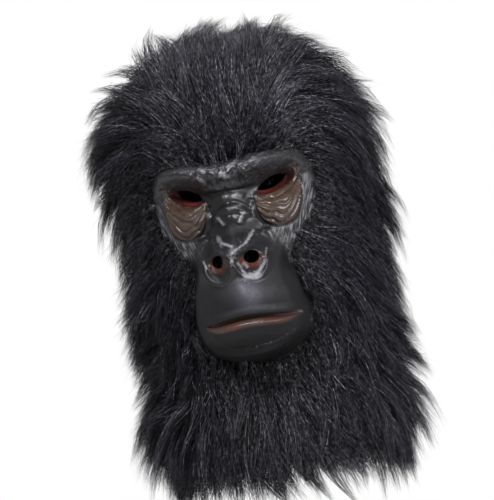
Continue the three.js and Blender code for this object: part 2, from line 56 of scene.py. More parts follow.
OUTLINE_DOWN = [0.01, 0.0, 0.01, 0.08, 0.19, 0.31, 0.42, 0.5, 0.58, 0.67, 0.77, 0.88, 0.96, 1.0]


def smooth(t):
    """3t^2 - 2t^3, with t held between 0 and 1."""
    t = np.clip(t, 0.0, 1.0)
    return t * t * (3 - 2 * t)


def bell(t):
    """exp(-t^2): 1 at 0, about a third at 1, and next to nothing from 2 on."""
    return np.exp(-(t**2))


def cubic(t, start, slope_out, end, slope_in):
    """The Hermite cubic from start to end for t from 0 to 1, with a slope at each."""
    from_start = (2 * t**3 - 3 * t**2 + 1) * start + (t**3 - 2 * t**2 + t) * slope_out
    return from_start + (3 * t**2 - 2 * t**3) * end + (t**3 - t**2) * slope_in


def curve_through(keys, values, at):
    """A cubic through a table's values. Its slope is the central difference, and 0 at both ends."""
    keys, values = np.asarray(keys, float), np.asarray(values, float)
    slopes = np.zeros(len(keys))
    slopes[1:-1] = (values[2:] - values[:-2]) / (keys[2:] - keys[:-2])
    where = np.clip(at, keys[0], keys[-1])
    i = np.clip(np.searchsorted(keys, where, side="right") - 1, 0, len(keys) - 2)
    span = keys[i + 1] - keys[i]
    t = (where - keys[i]) / span
    return cubic(t, values[i], span * slopes[i], values[i + 1], span * slopes[i + 1])


def trunk(drop):
    """Half width, front and back depth by the table of sections, without the dome."""
    below = (drop - TEMPLE_DROP) / (HOOD_DROP - TEMPLE_DROP)
    side = HALF_WIDTH * curve_through(SECTION_DROP, SECTION_SIDE, below)
    front = HALF_DEPTH * curve_through(SECTION_DROP, SECTION_FRONT, below)
    return side, front, HALF_DEPTH * curve_through(SECTION_DROP, SECTION_BACK, below)


def section(drop):
    """Half width, front and back depth at a drop: those of the trunk, rounded over by the dome."""
    dome = 1 - np.clip(drop / TEMPLE_DROP, 0, 1)
    girth = (1 - dome**CROWN_POWER) ** (1 / CROWN_POWER)
    return tuple(girth * half for half in trunk(drop))


def head_point(turn, way):
    """The form at an angle from the front and a way of 0 at the crown, 1 at the temples, 2 at the hem:
    (side * sin^p, -depth * cos^p, -drop), where the powers make each section a superellipse."""
    dome = TEMPLE_DROP * (1 - np.cos(np.clip(way, 0, 1) * math.pi / 2) ** (2 / CROWN_POWER))
    drop = np.where(way < 1, dome, TEMPLE_DROP + (HOOD_DROP - TEMPLE_DROP) * (way - 1))
    side, front, back = section(drop)
    across = np.sign(np.sin(turn)) * np.abs(np.sin(turn)) ** (2 / SECTION_POWER)
    ahead = np.sign(np.cos(turn)) * np.abs(np.cos(turn)) ** (2 / SECTION_POWER)
    return np.stack([side * across, -np.where(ahead > 0, front, back) * ahead, -drop], -1)


def head_level(points):
    """0 on the form and more outside: S^m + dome^m - 1, where S is a point's share of the trunk."""
    x, y, z = points[..., 0], points[..., 1], points[..., 2]
    side, front, back = trunk(-z)
    depth = np.where(y < 0, front, back)
    size = (np.abs(x) / side) ** SECTION_POWER + (np.abs(y) / depth) ** SECTION_POWER
    dome = np.clip(1 + z / TEMPLE_DROP, 0, None)
    return size ** (CROWN_POWER / SECTION_POWER) + dome**CROWN_POWER - 1


def head_normal(points):
    """The outward direction of the form, and how fast its level rises: central differences over 1 mm."""
    slope = np.zeros_like(points)
    for axis in range(3):
        step = np.zeros(3)
        step[axis] = 0.5
        slope[..., axis] = head_level(points + step) - head_level(points - step)
    length = np.linalg.norm(slope, axis=-1, keepdims=True) + 1e-12
    return slope / length, length[..., 0]


def onto_head(points):
    """Moves points onto the form along its slope, by three Newton steps."""
    for _ in range(3):
        normal, slope = head_normal(points)
        points = points - normal * (head_level(points) / slope)[..., None]
    return points


def closed_curve(corners, steps):
    """A centripetal Catmull-Rom curve through a ring of corners, sampled evenly along its length."""
    ring = np.asarray(corners, float)
    p0, p1, p2, p3 = (np.roll(ring, -k, axis=0)[:, None] for k in (-1, 0, 1, 2))
    spans = ((p0, p1), (p1, p2), (p2, p3))
    k0, k1, k2 = (np.linalg.norm(b - a, axis=-1, keepdims=True) ** 0.5 for a, b in spans)
    m1 = ((p1 - p0) / k0 - (p2 - p0) / (k0 + k1) + (p2 - p1) / k1) * k1
    m2 = ((p2 - p1) / k1 - (p3 - p1) / (k1 + k2) + (p3 - p2) / k2) * k1
    t = np.linspace(0, 1, EDGE_SUBSTEPS, endpoint=False)[None, :, None]
    fine = cubic(t, p1, m1, p2, m2).reshape(-1, 2)
    loop = np.vstack([fine, fine[:1]])
    along = np.concatenate([[0], np.cumsum(np.linalg.norm(np.diff(loop, axis=0), axis=1))])
    at = np.linspace(0, along[-1], steps, endpoint=False)
    return np.stack([np.interp(at, along, loop[:, k]) for k in range(2)], -1)


outline = zip(OUTLINE_ACROSS, OUTLINE_DOWN)
right_half = [(across * HALF_FACE, -FACE_TOP - down * FACE_HEIGHT) for across, down in outline]
left_half = [(-x, z) for x, z in right_half[1:-1]]
FACE_EDGE = closed_curve(right_half + left_half[::-1], EDGE_POINTS)


def from_piece(x, z, start, stop):
    """Distance to a straight piece, and the share of its length at which the nearest place lies."""
    (ax, az), (bx, bz) = start, stop
    ex, ez = bx - ax, bz - az
    share = np.clip(((x - ax) * ex + (z - az) * ez) / (ex * ex + ez * ez), 0, 1)
    return np.hypot(x - ax - share * ex, z - az - share * ez), share


def inside_edge(x, z):
    """How far a place (x, z) lies inside the face opening's edge, and negative outside it."""
    x, z = np.broadcast_arrays(np.asarray(x, float), np.asarray(z, float))
    nearest = np.full(x.shape, np.inf)
    crossings = np.zeros(x.shape, int)
    for a, b in zip(FACE_EDGE, np.roll(FACE_EDGE, -1, axis=0)):
        nearest = np.minimum(nearest, from_piece(x, z, a, b)[0])
        if a[1] != b[1]:
            at = a[0] + ((z - a[1]) / (b[1] - a[1])) * (b[0] - a[0])
            crossings += ((a[1] > z) != (b[1] > z)) & (x < at)
    return np.where(crossings % 2 == 1, nearest, -nearest)


def away_from_edge(x, z):
    """The direction (x, z) in which inside_edge falls fastest, by central differences."""
    ex = inside_edge(x - 0.5, z) - inside_edge(x + 0.5, z)
    ez = inside_edge(x, z - 0.5) - inside_edge(x, z + 0.5)
    length = np.hypot(ex, ez) + 1e-9
    return ex / length, ez / length


def close_wall(faces, count):
    """Faces of both sides of a wall and of its free edges: an edge that no other face runs the other
    way is joined to the same edge of the inner side, whose points are numbered count higher."""
    starts = faces.ravel()
    stops = np.roll(faces, -1, axis=1).ravel()
    free = ~np.isin(starts * 2 * count + stops, stops * 2 * count + starts)
    a, b = starts[free], stops[free]
    rim = np.stack([b, a, a + count, b + count], -1)
    return np.concatenate([faces, faces[:, ::-1] + count, rim])


def keep_used(faces, *columns):
    """The faces renumbered over the points that they use, and each column with only those points."""
    used, renumbered = np.unique(faces.ravel(), return_inverse=True)
    return (renumbered.reshape(faces.shape),) + tuple(column[used] for column in columns)


def add_object(name, data):
    """A new object in the scene."""
    made = bpy.data.objects.new(name, data)
    bpy.context.scene.collection.objects.link(made)
    return made


def add_mesh(name, points, faces):
    """A smooth-shaded mesh object from an array of points in mm and an array of faces of one size."""
    count, size = faces.shape
    mesh = bpy.data.meshes.new(name)
    mesh.vertices.add(len(points))
    mesh.vertices.foreach_set("co", (points / 1000).astype(np.float32).ravel())
    mesh.loops.add(count * size)
    mesh.loops.foreach_set("vertex_index", faces.astype(np.int32).ravel())
    mesh.polygons.add(count)
    mesh.polygons.foreach_set("loop_start", np.arange(0, count * size, size, dtype=np.int32))
    mesh.polygons.foreach_set("use_smooth", np.full(count, True))
    mesh.update(calc_edges=True)
    return add_object(name, mesh)


def add_uv(piece, name, faces, places):
    """A UV map with one place for each point of the mesh."""
    layer = piece.data.uv_layers.new(name=name)
    layer.data.foreach_set("uv", places[faces.ravel()].astype(np.float32).ravel())


def store(piece, name, values):
    """Keeps one number for each point under a name that a material reads."""
    layer = piece.data.attributes.new(name, "FLOAT", "POINT")
    layer.data.foreach_set("value", values.astype(np.float32))


class Nodes:
    """Adds nodes to a tree, each with its inputs linked or set in the same call."""

    def __init__(self, tree):
        self.tree = tree

    def add(self, kind, inputs=(), **settings):
        node = self.tree.nodes.new(kind)
        for key, value in settings.items():
            setattr(node, key, value)
        for socket, value in dict(inputs).items():
            self.put(node.inputs[socket], value)
        return node

    def put(self, socket, value):
        """Links an output to the socket, or sets a plain value on it."""
        if isinstance(value, bpy.types.NodeSocket):
            self.tree.links.new(value, socket)
        else:
            socket.default_value = value

    def math(self, operation, a, b=0.0):
        return self.add("ShaderNodeMath", {0: a, 1: b}, operation=operation).outputs[0]

    def times(self, a, b):
        return self.math("MULTIPLY", a, b)

    def plus(self, a, b):
        return self.math("ADD", a, b)

    def minus(self, a, b):
        return self.math("SUBTRACT", a, b)

    def mix(self, share, a, b):
        return self.add("ShaderNodeMix", {0: share, 6: a, 7: b}, data_type="RGBA").outputs[2]

    def between(self, value, low, high, to_low=0.0, to_high=1.0):
        """The value's place between low and high, carried over to two other ends and held there."""
        inputs = {"Value": value, "From Min": low, "From Max": high, "To Min": to_low, "To Max": to_high}
        return self.add("ShaderNodeMapRange", inputs).outputs[0]

    def noise(self, vector, scale, detail=3.0, rough=0.5, bend=0.0):
        inputs = {"Vector": vector, "Scale": scale, "Detail": detail, "Roughness": rough}
        return self.add("ShaderNodeTexNoise", {**inputs, "Distortion": bend}).outputs["Fac"]

    def bump(self, height, strength, distance):
        inputs = {"Height": height, "Strength": strength, "Distance": distance}
        return self.add("ShaderNodeBump", inputs).outputs[0]

    def attribute(self, name):
        return self.add("ShaderNodeAttribute", attribute_name=name).outputs["Fac"]


def new_material(name):
    """An empty material and its nodes."""
    made = bpy.data.materials.new(name)
    made.use_nodes = True
    made.node_tree.nodes.clear()
    return made, Nodes(made.node_tree)


def finish_material(nodes, **inputs):
    """Joins a Principled shader to the output. A name's words are parted by an underscore."""
    named = {key.replace("_", " "): value for key, value in inputs.items()}
    shader = nodes.add("ShaderNodeBsdfPrincipled", named)
    nodes.add("ShaderNodeOutputMaterial", {0: shader.outputs[0]})


def grain_group():
    """A node group for fine grain that more than one finish has: two colours mottled, and a height of
    broad and fine noise."""
    group = bpy.data.node_groups.new("grain", "ShaderNodeTree")
    kinds = {"Vector": "Vector", "Dark": "Color", "Light": "Color", "Broad": "Float", "Fine": "Float"}
    for name, kind in kinds.items():
        group.interface.new_socket(name, in_out="INPUT", socket_type=f"NodeSocket{kind}")
    for name, kind in {"Color": "Color", "Height": "Float"}.items():
        group.interface.new_socket(name, in_out="OUTPUT", socket_type=f"NodeSocket{kind}")
    n = Nodes(group)
    given = n.add("NodeGroupInput").outputs
    broad = n.noise(given["Vector"], given["Broad"], detail=5.0, rough=0.6)
    fine = n.noise(given["Vector"], given["Fine"], detail=3.0)
    color = n.mix(n.between(broad, 0.3, 0.7), given["Dark"], given["Light"])
    height = n.plus(n.times(broad, 0.6), n.times(fine, 0.4))
    n.add("NodeGroupOutput", {"Color": color, "Height": height})
    return group


GRAIN = grain_group()


def grain(nodes, vector, dark, light, broad, fine):
    """Places the grain group with its values."""
    given = {"Vector": vector, "Dark": dark, "Light": light, "Broad": broad, "Fine": fine}
    return nodes.add("ShaderNodeGroup", given, node_tree=GRAIN).outputs


def hood_shell():
    """Two sides of cloth on a grid of turn and way. Points near the opening's edge are moved onto it,
    and cells inside it are left out."""
    i, j = np.meshgrid(np.arange(HOOD_TURNS + 1), np.arange(HOOD_ROWS + 1))
    turn = 2 * math.pi * i / HOOD_TURNS
    way = np.maximum(2 * j / HOOD_ROWS, POLE_WAY)
    inner = head_point(turn, way)
    cell = math.pi * (HALF_WIDTH + HALF_DEPTH) / HOOD_TURNS
    depth = inside_edge(inner[..., 0], inner[..., 2])
    near = (inner[..., 1] < 0) & (np.abs(depth) < 0.5 * cell)
    ex, ez = away_from_edge(inner[..., 0], inner[..., 2])
    inner[..., 0] += np.where(near, depth * ex, 0)
    inner[..., 2] += np.where(near, depth * ez, 0)
    inner = onto_head(inner)
    normal, _ = head_normal(inner)
    outer = inner + normal * CLOTH_WALL
    drop = -inner[..., 2]
    hem = smooth((HEM_RISE - (HOOD_DROP - drop)) / HEM_FOLD)[..., None]
    inner = inner - normal * HEM_WALL * hem
    middle = (inner[:-1, :-1] + inner[1:, 1:] + inner[1:, :-1] + inner[:-1, 1:]) / 4
    cut = (middle[..., 1] < 0) & (inside_edge(middle[..., 0], middle[..., 2]) > 0)
    number = j * HOOD_TURNS + i % HOOD_TURNS
    a, b = number[:-1, :-1][~cut], number[:-1, 1:][~cut]
    d, c = number[1:, :-1][~cut], number[1:, 1:][~cut]
    quads = np.stack([a, d, c, b], -1)
    keep = (slice(None), slice(0, HOOD_TURNS))
    around = np.stack([turn[keep] / (2 * math.pi), drop[keep] / HOOD_DROP], -1).reshape(-1, 2)
    return outer[keep].reshape(-1, 3), inner[keep].reshape(-1, 3), around, quads


cloth_out, cloth_in, cloth_place, cloth_quads = hood_shell()
cloth_faces, cloth_points, cloth_uv, cloth_side = keep_used(
    close_wall(cloth_quads, len(cloth_out)),
    np.concatenate([cloth_out, cloth_in]),
    np.concatenate([cloth_place, cloth_place]),
    np.concatenate([np.zeros(len(cloth_out)), np.ones(len(cloth_in))]),
)
hood = add_mesh("hood_cloth", cloth_points, cloth_faces)
add_uv(hood, "round_the_head", cloth_faces, cloth_uv)
store(hood, "lining", cloth_side)

KNIT_COLUMNS, KNIT_ROWS = 300.0, 150.0
STITCHES_ROUND, STITCH_RISE, STITCH_HALF = 140, 10.0, 0.003
CLOTH_DARK, CLOTH_LIGHT = (0.003, 0.003, 0.0035, 1), (0.008, 0.008, 0.0095, 1)
LOOP_COLOR, THREAD_COLOR = (0.015, 0.015, 0.0165, 1), (0.045, 0.045, 0.048, 1)
knit, n = new_material("knitted_backing")
here = n.add("ShaderNodeTexCoord").outputs["Object"]
cloth_at = n.add("ShaderNodeUVMap", uv_map="round_the_head").outputs[0]
split = n.add("ShaderNodeSeparateXYZ", {0: cloth_at}).outputs
columns = n.math("SINE", n.times(split[0], 2 * math.pi * KNIT_COLUMNS))
courses = n.math("SINE", n.times(split[1], 2 * math.pi * KNIT_ROWS))
loops = n.times(n.math("ABSOLUTE", columns), n.between(courses, -1.0, 1.0, 0.35, 1.0))
from_seam = n.minus(split[1], 1 - STITCH_RISE / HOOD_DROP)
stitch = n.between(n.math("ABSOLUTE", from_seam), 0.0, STITCH_HALF, 1.0, 0.0)
dashes = n.between(n.math("SINE", n.times(split[0], 2 * math.pi * STITCHES_ROUND)), -0.2, 0.2)
stitches = n.times(stitch, dashes)
cloth_grain = grain(n, here, CLOTH_DARK, CLOTH_LIGHT, 40.0, 1400.0)
cloth_color = n.mix(n.times(loops, 0.4), cloth_grain["Color"], LOOP_COLOR)
cloth_color = n.mix(stitches, cloth_color, THREAD_COLOR)
cloth_height = n.plus(loops, n.times(cloth_grain["Height"], 0.6))
cloth_height = n.minus(cloth_height, n.times(stitches, 1.5))
cloth_bump = n.bump(cloth_height, 0.7, 0.0004)
cloth_rough = n.between(loops, 0.0, 1.0, 0.95, 0.8)
finish_material(n, Base_Color=cloth_color, Roughness=cloth_rough, Normal=cloth_bump, Specular_IOR_Level=0.2)
hood.data.materials.append(knit)
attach(hood, "root")
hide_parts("hood")

# Moulded face: one skin of latex, 2.4 mm thick, cast with its brow, eye bags, nose, muzzle and lips,
# pierced at the eyes and nostrils, and painted by hand. Its rim runs under the hood's edge and is glued.
LATEX_WALL, LEAST_WALL, LATEX_GAP, RIM_WIDTH = 2.4, 1.0, 1.3, 10.0
EDGE_FLAT, EDGE_RISE, MUZZLE_RISE = 3.0, 8.0, 40.0
MOST_LEAN = 4.5
FACE_COLUMNS, FACE_ROWS = 194, 244

# Main forms: across and wide as shares of half the face's width, drop and tall of its height, rise of
# the muzzle's, firm for square shoulders, and turn in degrees.
FORMS = [
    (0.0, 0.74, 0.7, 0.27, 0.98, 2.2, 0),  # muzzle
    (0.0, 0.69, 0.42, 0.1, 0.16, 1.0, 0),  # upper lip
    (0.0, 0.81, 0.5, 0.032, 0.09, 1.0, 0),  # lower lip
    (0.0, 0.885, 0.36, 0.028, -0.1, 1.0, 0),  # chin crease
    (0.0, 0.94, 0.33, 0.04, 0.06, 1.0, 0),  # chin
    (0.0, 0.47, 0.3, 0.085, 0.48, 1.3, 0),  # nose
    (0.26, 0.51, 0.15, 0.06, 0.15, 1.3, 0),  # nose wings
    (0.21, 0.52, 0.1, 0.036, -0.2, 1.4, 0),  # nostrils
    (0.0, 0.28, 0.17, 0.14, 0.3, 1.0, 0),  # bridge
    (0.0, 0.09, 0.34, 0.062, 0.36, 1.2, 0),  # brow
    (0.46, 0.07, 0.3, 0.056, 0.34, 1.2, 12),  # brow ridges
    (0.78, 0.06, 0.2, 0.06, 0.2, 1.0, 0),  # brow ends
    (0.53, 0.175, 0.28, 0.07, -0.3, 1.3, 20),  # sockets
    (0.54, 0.28, 0.24, 0.095, 0.18, 1.5, 0),  # eye bags
]
DRAWN_ASIDE, STRAIGHT_DOWN, ASIDE_DOWN, CHIN_DOWN = 5.5, 82.0, 120.0, 172.0


def middle_line(drop):
    """Where the middle of the casting lies: the latex is drawn a few mm aside at the mouth."""
    down = drop - FACE_TOP
    rise = smooth((down - STRAIGHT_DOWN) / (ASIDE_DOWN - STRAIGHT_DOWN))
    return DRAWN_ASIDE * rise * (0.35 + 0.65 * smooth((CHIN_DOWN - down) / 36))


def main_forms(x, drop):
    """The sum of rise * exp(-(a^2 + b^2)^firm), a and b measured along and over each turned form."""
    total = np.zeros(np.broadcast(x, drop).shape)
    x = x - middle_line(drop)
    for across, down, wide, tall, rise, firm, turn in FORMS:
        c, s = math.cos(math.radians(turn)), math.sin(math.radians(turn))
        for side in (1, -1) if across else (1,):
            dx = side * x - across * HALF_FACE
            dz = drop - FACE_TOP - down * FACE_HEIGHT
            along = (dx * c - dz * s) / (wide * HALF_FACE)
            over = (dx * s + dz * c) / (tall * FACE_HEIGHT)
            total = total + rise * MUZZLE_RISE * np.exp(-((along**2 + over**2) ** firm))
    return total


# Creases (-) and ridges (+) of the casting, on both sides of the face: start, middle and end as across
# and down from the brow's top, then width and rise, in mm.
CREASES = [
    ((3, 28), (3.5, 20), (2, 11), 1.4, -1.6),  # frown
    ((9.5, 27), (12, 19), (11, 10), 1.5, -1.7),
    ((16, 25), (21, 17), (19, 8), 1.3, -1.3),
    ((6, 22), (9, 17), (14, 14), 1.1, -1.0),
    ((15, 21.5), (17, 19), (18.5, 15.5), 3.2, 1.9),  # lumps of the brow
    ((1.5, 21), (2, 19), (3, 15), 2.8, 1.7),
    ((12, 15.5), (14, 12), (18, 9), 2.8, 1.3),
    ((24, 17), (31, 12), (40, 8), 2.6, 1.2),
    ((0, 34), (7, 34), (13, 36.5), 2.6, 1.1),  # plates on the bridge
    ((0, 39.5), (8, 41), (16, 49), 1.5, -1.8),
    ((0, 44), (8, 45.5), (15, 53), 2.0, 1.3),
    ((0, 48.5), (7, 50.5), (22, 58), 1.6, -0.7),
    ((10.5, 49), (8, 53), (5.5, 57.5), 2.4, 1.8),  # ridges of the nose
    ((13, 63), (10.5, 67), (6, 71), 3.4, 1.4),  # pads
    ((17.5, 38), (17, 50), (27, 66), 2.6, -2.2),  # side of the nose
    ((19, 63), (12, 74), (0, 80.5), 1.8, 3.2),  # upper rims of the nostrils
    ((21, 63), (28, 70), (28.5, 82), 2.6, 2.0),  # wings
    ((38, 68), (41, 84), (38, 98), 3.4, -1.4),  # cheek beside the wing
    ((27, 104), (38, 113), (42, 125), 5.0, -0.8),  # cheek to mouth corner
    ((2, 151), (20, 149.5), (40, 141), 1.4, 1.2),  # crease line of the chin
]
BEND_PIECES = 14


def along_bend(x, z, start, middle, end):
    """Distance to a bent line, and how far along it the nearest place lies. The line is a quadratic
    curve through its middle, cut into short straight pieces."""
    t = np.linspace(0, 1, BEND_PIECES + 1)[:, None]
    start, middle, end = (np.asarray(p, float) for p in (start, middle, end))
    pull = 2 * middle - (start + end) / 2
    line = (1 - t) ** 2 * start + 2 * t * (1 - t) * pull + t**2 * end
    nearest = np.full(np.broadcast(x, z).shape, np.inf)
    along = np.zeros_like(nearest)
    for k, (a, b) in enumerate(zip(line[:-1], line[1:])):
        distance, share = from_piece(x, z, a, b)
        along = np.where(distance < nearest, (k + share) / BEND_PIECES, along)
        nearest = np.minimum(nearest, distance)
    return nearest, along


def rounded_rows(place):
    """|sin(pi * place)|^0.7 less its mean: rows with round backs and sharp valleys, one for each whole
    number that the place passes."""
    return np.abs(np.sin(math.pi * place)) ** 0.7 - 0.6


def creases(x, drop):
    """The sum of rise * exp(-(distance / width)^2), fading at the ends that aren't on the middle line."""
    total = np.zeros(np.broadcast(x, drop).shape)
    across = np.abs(x - middle_line(drop))
    for start, middle, end, width, rise in CREASES:
        distance, along = along_bend(across, drop - FACE_TOP, start, middle, end)
        fade = smooth(8 * (1 - along))
        if start[0] > 0:
            fade = fade * smooth(8 * along)
        total = total + rise * fade * bell(distance / width)
    return total


LEDGE_DEPTH, ROLL_RISE, WRINKLE_RISE = 3.4, 1.3, 0.75
BROW_KEYS = [0.0, 10.0, 20.0, 28.0, 38.0, 46.0, 60.0]
BROW_DOWN = [29.5, 29.5, 28.0, 25.0, 22.0, 20.0, 20.0]
WRINKLE_SPACING = 3.3


def brow_relief(x, drop):
    """A ledge under the brow, whose line falls towards the nose, and wrinkles that rise outwards."""
    across, down = np.abs(x), drop - FACE_TOP
    under = down - curve_through(BROW_KEYS, BROW_DOWN, across)
    ledge = smooth((under + 1.0) / 2.4) * np.exp(-np.maximum(under, 0) / 9) * smooth((60 - across) / 14)
    rolled = bell((under + 3.0) / 2.6) * smooth((52 - across) / 10)
    row = down + 0.4 * across
    wander = 1.3 * np.sin(0.19 * x + 0.8) + 0.8 * np.sin(0.47 * across + 0.31 * down)
    wrinkle = rounded_rows((row + wander) / WRINKLE_SPACING)
    lies = smooth((across - 5) / 6) * smooth((54 - across) / 14)
    lies = lies * smooth((row - 12) / 4) * smooth((31 - row) / 5)
    return -LEDGE_DEPTH * ledge + ROLL_RISE * rolled + WRINKLE_RISE * lies * wrinkle


EYE_ACROSS, EYE_DROP, EYE_LENGTH, EYE_HEIGHT = 32.4, 113.0, 22.5, 7.8
EYE_TILT, EYE_PINCH = 23.0, 0.35
LID_LENGTH, LID_HEIGHT, LID_SLOPE, LID_RIM = 15.0, 6.6, 4.6, 0.9
BAG_ACROSS, BAG_DOWN, BAG_NARROW, BAG_REACH = 36.5, 30.0, 0.55, 32.5
FOLDS, FOLD_RISE, BAG_CREASE = 5.0, 2.6, 1.3


def eye_place(x, drop):
    """Place from the eye's middle, turned with it: along towards its outer corner, and over, down."""
    c, s = math.cos(math.radians(EYE_TILT)), math.sin(math.radians(EYE_TILT))
    dx, dz = np.abs(x) - EYE_ACROSS, drop - EYE_DROP
    return dx * c - dz * s, dx * s + dz * c


def hole_size(x, drop):
    """1 on the eye hole's outline and more outside it: an ellipse pinched towards its corners."""
    along, over = eye_place(x, drop)
    a = along / (EYE_LENGTH / 2)
    b = over / (EYE_HEIGHT / 2)
    return np.hypot(a, b / np.clip(1 - EYE_PINCH * np.clip(a, -1, 1) ** 2, 0.4, 1))


def lid_size(x, drop):
    """1 on the edge of the lower lid, a wider ellipse that shares the hole's upper side."""
    along, over = eye_place(x, drop)
    return np.hypot((along - 2.6) / LID_LENGTH, (over - 1.3) / LID_HEIGHT)


def bag_ring(x, drop):
    """Distance from the eye, in mm down, where sideways counts more: rings are tall with full corners."""
    across, down = np.abs(np.abs(x) - BAG_ACROSS) / BAG_NARROW, np.abs(drop - FACE_TOP - BAG_DOWN)
    return (across**2.5 + down**2.5) ** 0.4


def fold_place(x, drop):
    """0 at the lid's edge and 1 at the bag's outer ring, so that folds are crescents that meet at the
    corners of the eye."""
    from_lid = np.maximum(lid_size(x, drop) - 1.0, 0) * 7.0
    to_ring = np.maximum(BAG_REACH + 2 - bag_ring(x, drop), 0)
    return from_lid / (from_lid + to_ring + 0.5)


def bag_share(x, drop):
    """How much of the eye bag a place has: inside the outer ring, outside the lid, below the eye."""
    inside = smooth((BAG_REACH + 1 - bag_ring(x, drop)) / 3)
    along, over = eye_place(x, drop)
    below = smooth((over + 4.5 - 5.0 * smooth((5 - along) / 8)) / 3)
    return inside * smooth((lid_size(x, drop) - 0.96) / 0.16) * below


def fold_height(x, drop):
    """Rows of folds across the bag, whose places wander a little."""
    wander = 0.05 * np.sin(0.24 * x + 0.1 * drop) + 0.03 * np.sin(0.5 * np.abs(x) + 0.3 * drop)
    return rounded_rows(FOLDS * (fold_place(x, drop) + wander))


def eye_relief(x, drop):
    """A red lid that slopes in to the hole, the folds below it, and a crease round the bag."""
    ring, lid = bag_ring(x, drop), lid_size(x, drop)
    _, over = eye_place(x, drop)
    low = smooth((over + 4.0) / 2.0)
    slope = -LID_SLOPE * smooth((1.0 - lid) / 0.5) * low
    rim = LID_RIM * bell((lid - 1.1) / 0.1) * smooth((over + 1.0) / 3.0)
    round_bag = bell((ring - BAG_REACH - 1.5) / 1.8) * smooth((drop - FACE_TOP - 34) / 8)
    folds = FOLD_RISE * bag_share(x, drop) * fold_height(x, drop)
    return slope + rim + folds - BAG_CREASE * round_bag


STROKE_LEAN, STROKE_SPACING, STROKE_RISE = 0.34, 2.3, 0.8


def stroke_place(x, drop):
    """Place in the moulded hair of the cheeks: across its strokes, which lean inwards, and down."""
    return np.abs(x) + STROKE_LEAN * (drop - FACE_TOP), drop - FACE_TOP


def cheek_share(x, drop):
    """The crescent of moulded hair outside the eye bags."""
    ring, across, down = bag_ring(x, drop), np.abs(x), drop - FACE_TOP
    crescent = smooth((ring - BAG_REACH - 0.5) / 3.5) * smooth((52 - ring) / 7)
    return crescent * smooth((across - 28) / 8) * smooth((down - 24) / 10) * smooth((80 - down) / 9)


def cheek_relief(x, drop):
    """Strokes side by side, thick and thin by a slow wave."""
    across, down = stroke_place(x, drop)
    wander = 0.7 * np.sin(0.35 * down + 0.6 * across)
    return STROKE_RISE * cheek_share(x, drop) * rounded_rows((across + wander) / STROKE_SPACING)


MOUTH_DOWN, MOUTH_REACH, MOUTH_ARCH = 127.5, 36.5, 2.6
SLIT_DEPTH, UPPER_LIP, LOWER_LIP, LIP_FALL, CORNER_RISE = 4.8, 2.6, 3.4, 0.6, 1.6


def mouth_over(x, drop):
    """How far a place is below the mouth's slit, a shallow arch that flattens towards its corners."""
    across = x - middle_line(drop)
    arch = MOUTH_ARCH * smooth(np.abs(across) / 32)
    return drop - FACE_TOP - MOUTH_DOWN - arch


def mouth_relief(x, drop):
    """A deep slit, an upper lip that stands over it, a full lower lip under it, and dimpled corners."""
    over, across = mouth_over(x, drop), np.abs(x - middle_line(drop))
    reach = smooth((MOUTH_REACH + 1 - across) / 9)
    slit = -SLIT_DEPTH * bell((over - 0.4) / 1.5) * smooth((MOUTH_REACH + 1 - across) / 4)
    upper = UPPER_LIP * smooth((over + 9) / 6) * smooth((-over - 0.2) / 1.6)
    lower = LOWER_LIP * bell((over - 2.2 - 3.0 * reach) / (1.2 + 1.7 * reach))
    fall = -LIP_FALL * bell((over - 12) / 3.0)
    corner = CORNER_RISE * bell(np.hypot((across - MOUTH_REACH - 0.5) / 2.0, (over - 0.2) / 2.4))
    return reach * (upper + lower + fall) + slit + corner


NOSTRIL_ACROSS, NOSTRIL_DROP, NOSTRIL_LENGTH, NOSTRIL_HEIGHT = 13.2, 167.0, 10.0, 9.6
BOWL_DOWN, BOWL_WIDE, BOWL_TALL, BOWL_DEPTH, BOWL_RIM = 86.0, 10.8, 12.4, 4.6, 3.2
PIT_WIDE, PIT_TALL, PIT_DEPTH = 7.2, 6.8, 4.0
STRIP_ASIDE, STRIP_HALF, STRIP_RISE = 3.5, 9.0, 2.2


def bowl_size(x, drop):
    """1 on the rim of a nostril's bowl, an upright ellipse that hangs below the hole."""
    across = np.abs(x - middle_line(drop)) - NOSTRIL_ACROSS
    return np.hypot(across / BOWL_WIDE, (drop - FACE_TOP - BOWL_DOWN) / BOWL_TALL)


def pit_size(x, drop):
    """1 about 2 mm outside the edge of a nostril's hole."""
    across = np.abs(x - middle_line(drop)) - NOSTRIL_ACROSS
    return np.hypot(across / PIT_WIDE, (drop - NOSTRIL_DROP) / PIT_TALL)


def strip_share(x, drop):
    """The strip from the septum to the lip, drawn a little further aside than the middle line."""
    across, down = x - middle_line(drop) - STRIP_ASIDE, drop - FACE_TOP
    return bell(across / STRIP_HALF) * smooth((down - 94) / 12) * smooth((130 - down) / 16)


def nose_relief(x, drop):
    """Bowls of the nostrils, deeper at the hole, with a raised rim below, and a round-backed strip from
    the septum to the lip."""
    size, down = bowl_size(x, drop), drop - FACE_TOP
    bowl = -BOWL_DEPTH * np.exp(-(size**3.0)) - PIT_DEPTH * bell(pit_size(x, drop))
    rim = BOWL_RIM * bell((size - 1.08) / 0.16) * smooth((down - BOWL_DOWN + 5) / 8)
    return bowl + rim + STRIP_RISE * strip_share(x, drop)


EDGE_LINE_INSET, EDGE_LINE_HALF, EDGE_LINE_RISE = 6.0, 1.2, 1.1


def edge_line(x, drop):
    """A thin raised line just inside the edge of the lower face."""
    lower = smooth((drop - FACE_TOP - 84) / 14)
    return EDGE_LINE_RISE * lower * bell((inside_edge(x, -drop) - EDGE_LINE_INSET) / EDGE_LINE_HALF)


def edge_share(x, drop):
    """How much of the relief a place has: it climbs from nothing beside the hood's edge."""
    return smooth((inside_edge(x, -drop) - EDGE_FLAT) / EDGE_RISE)


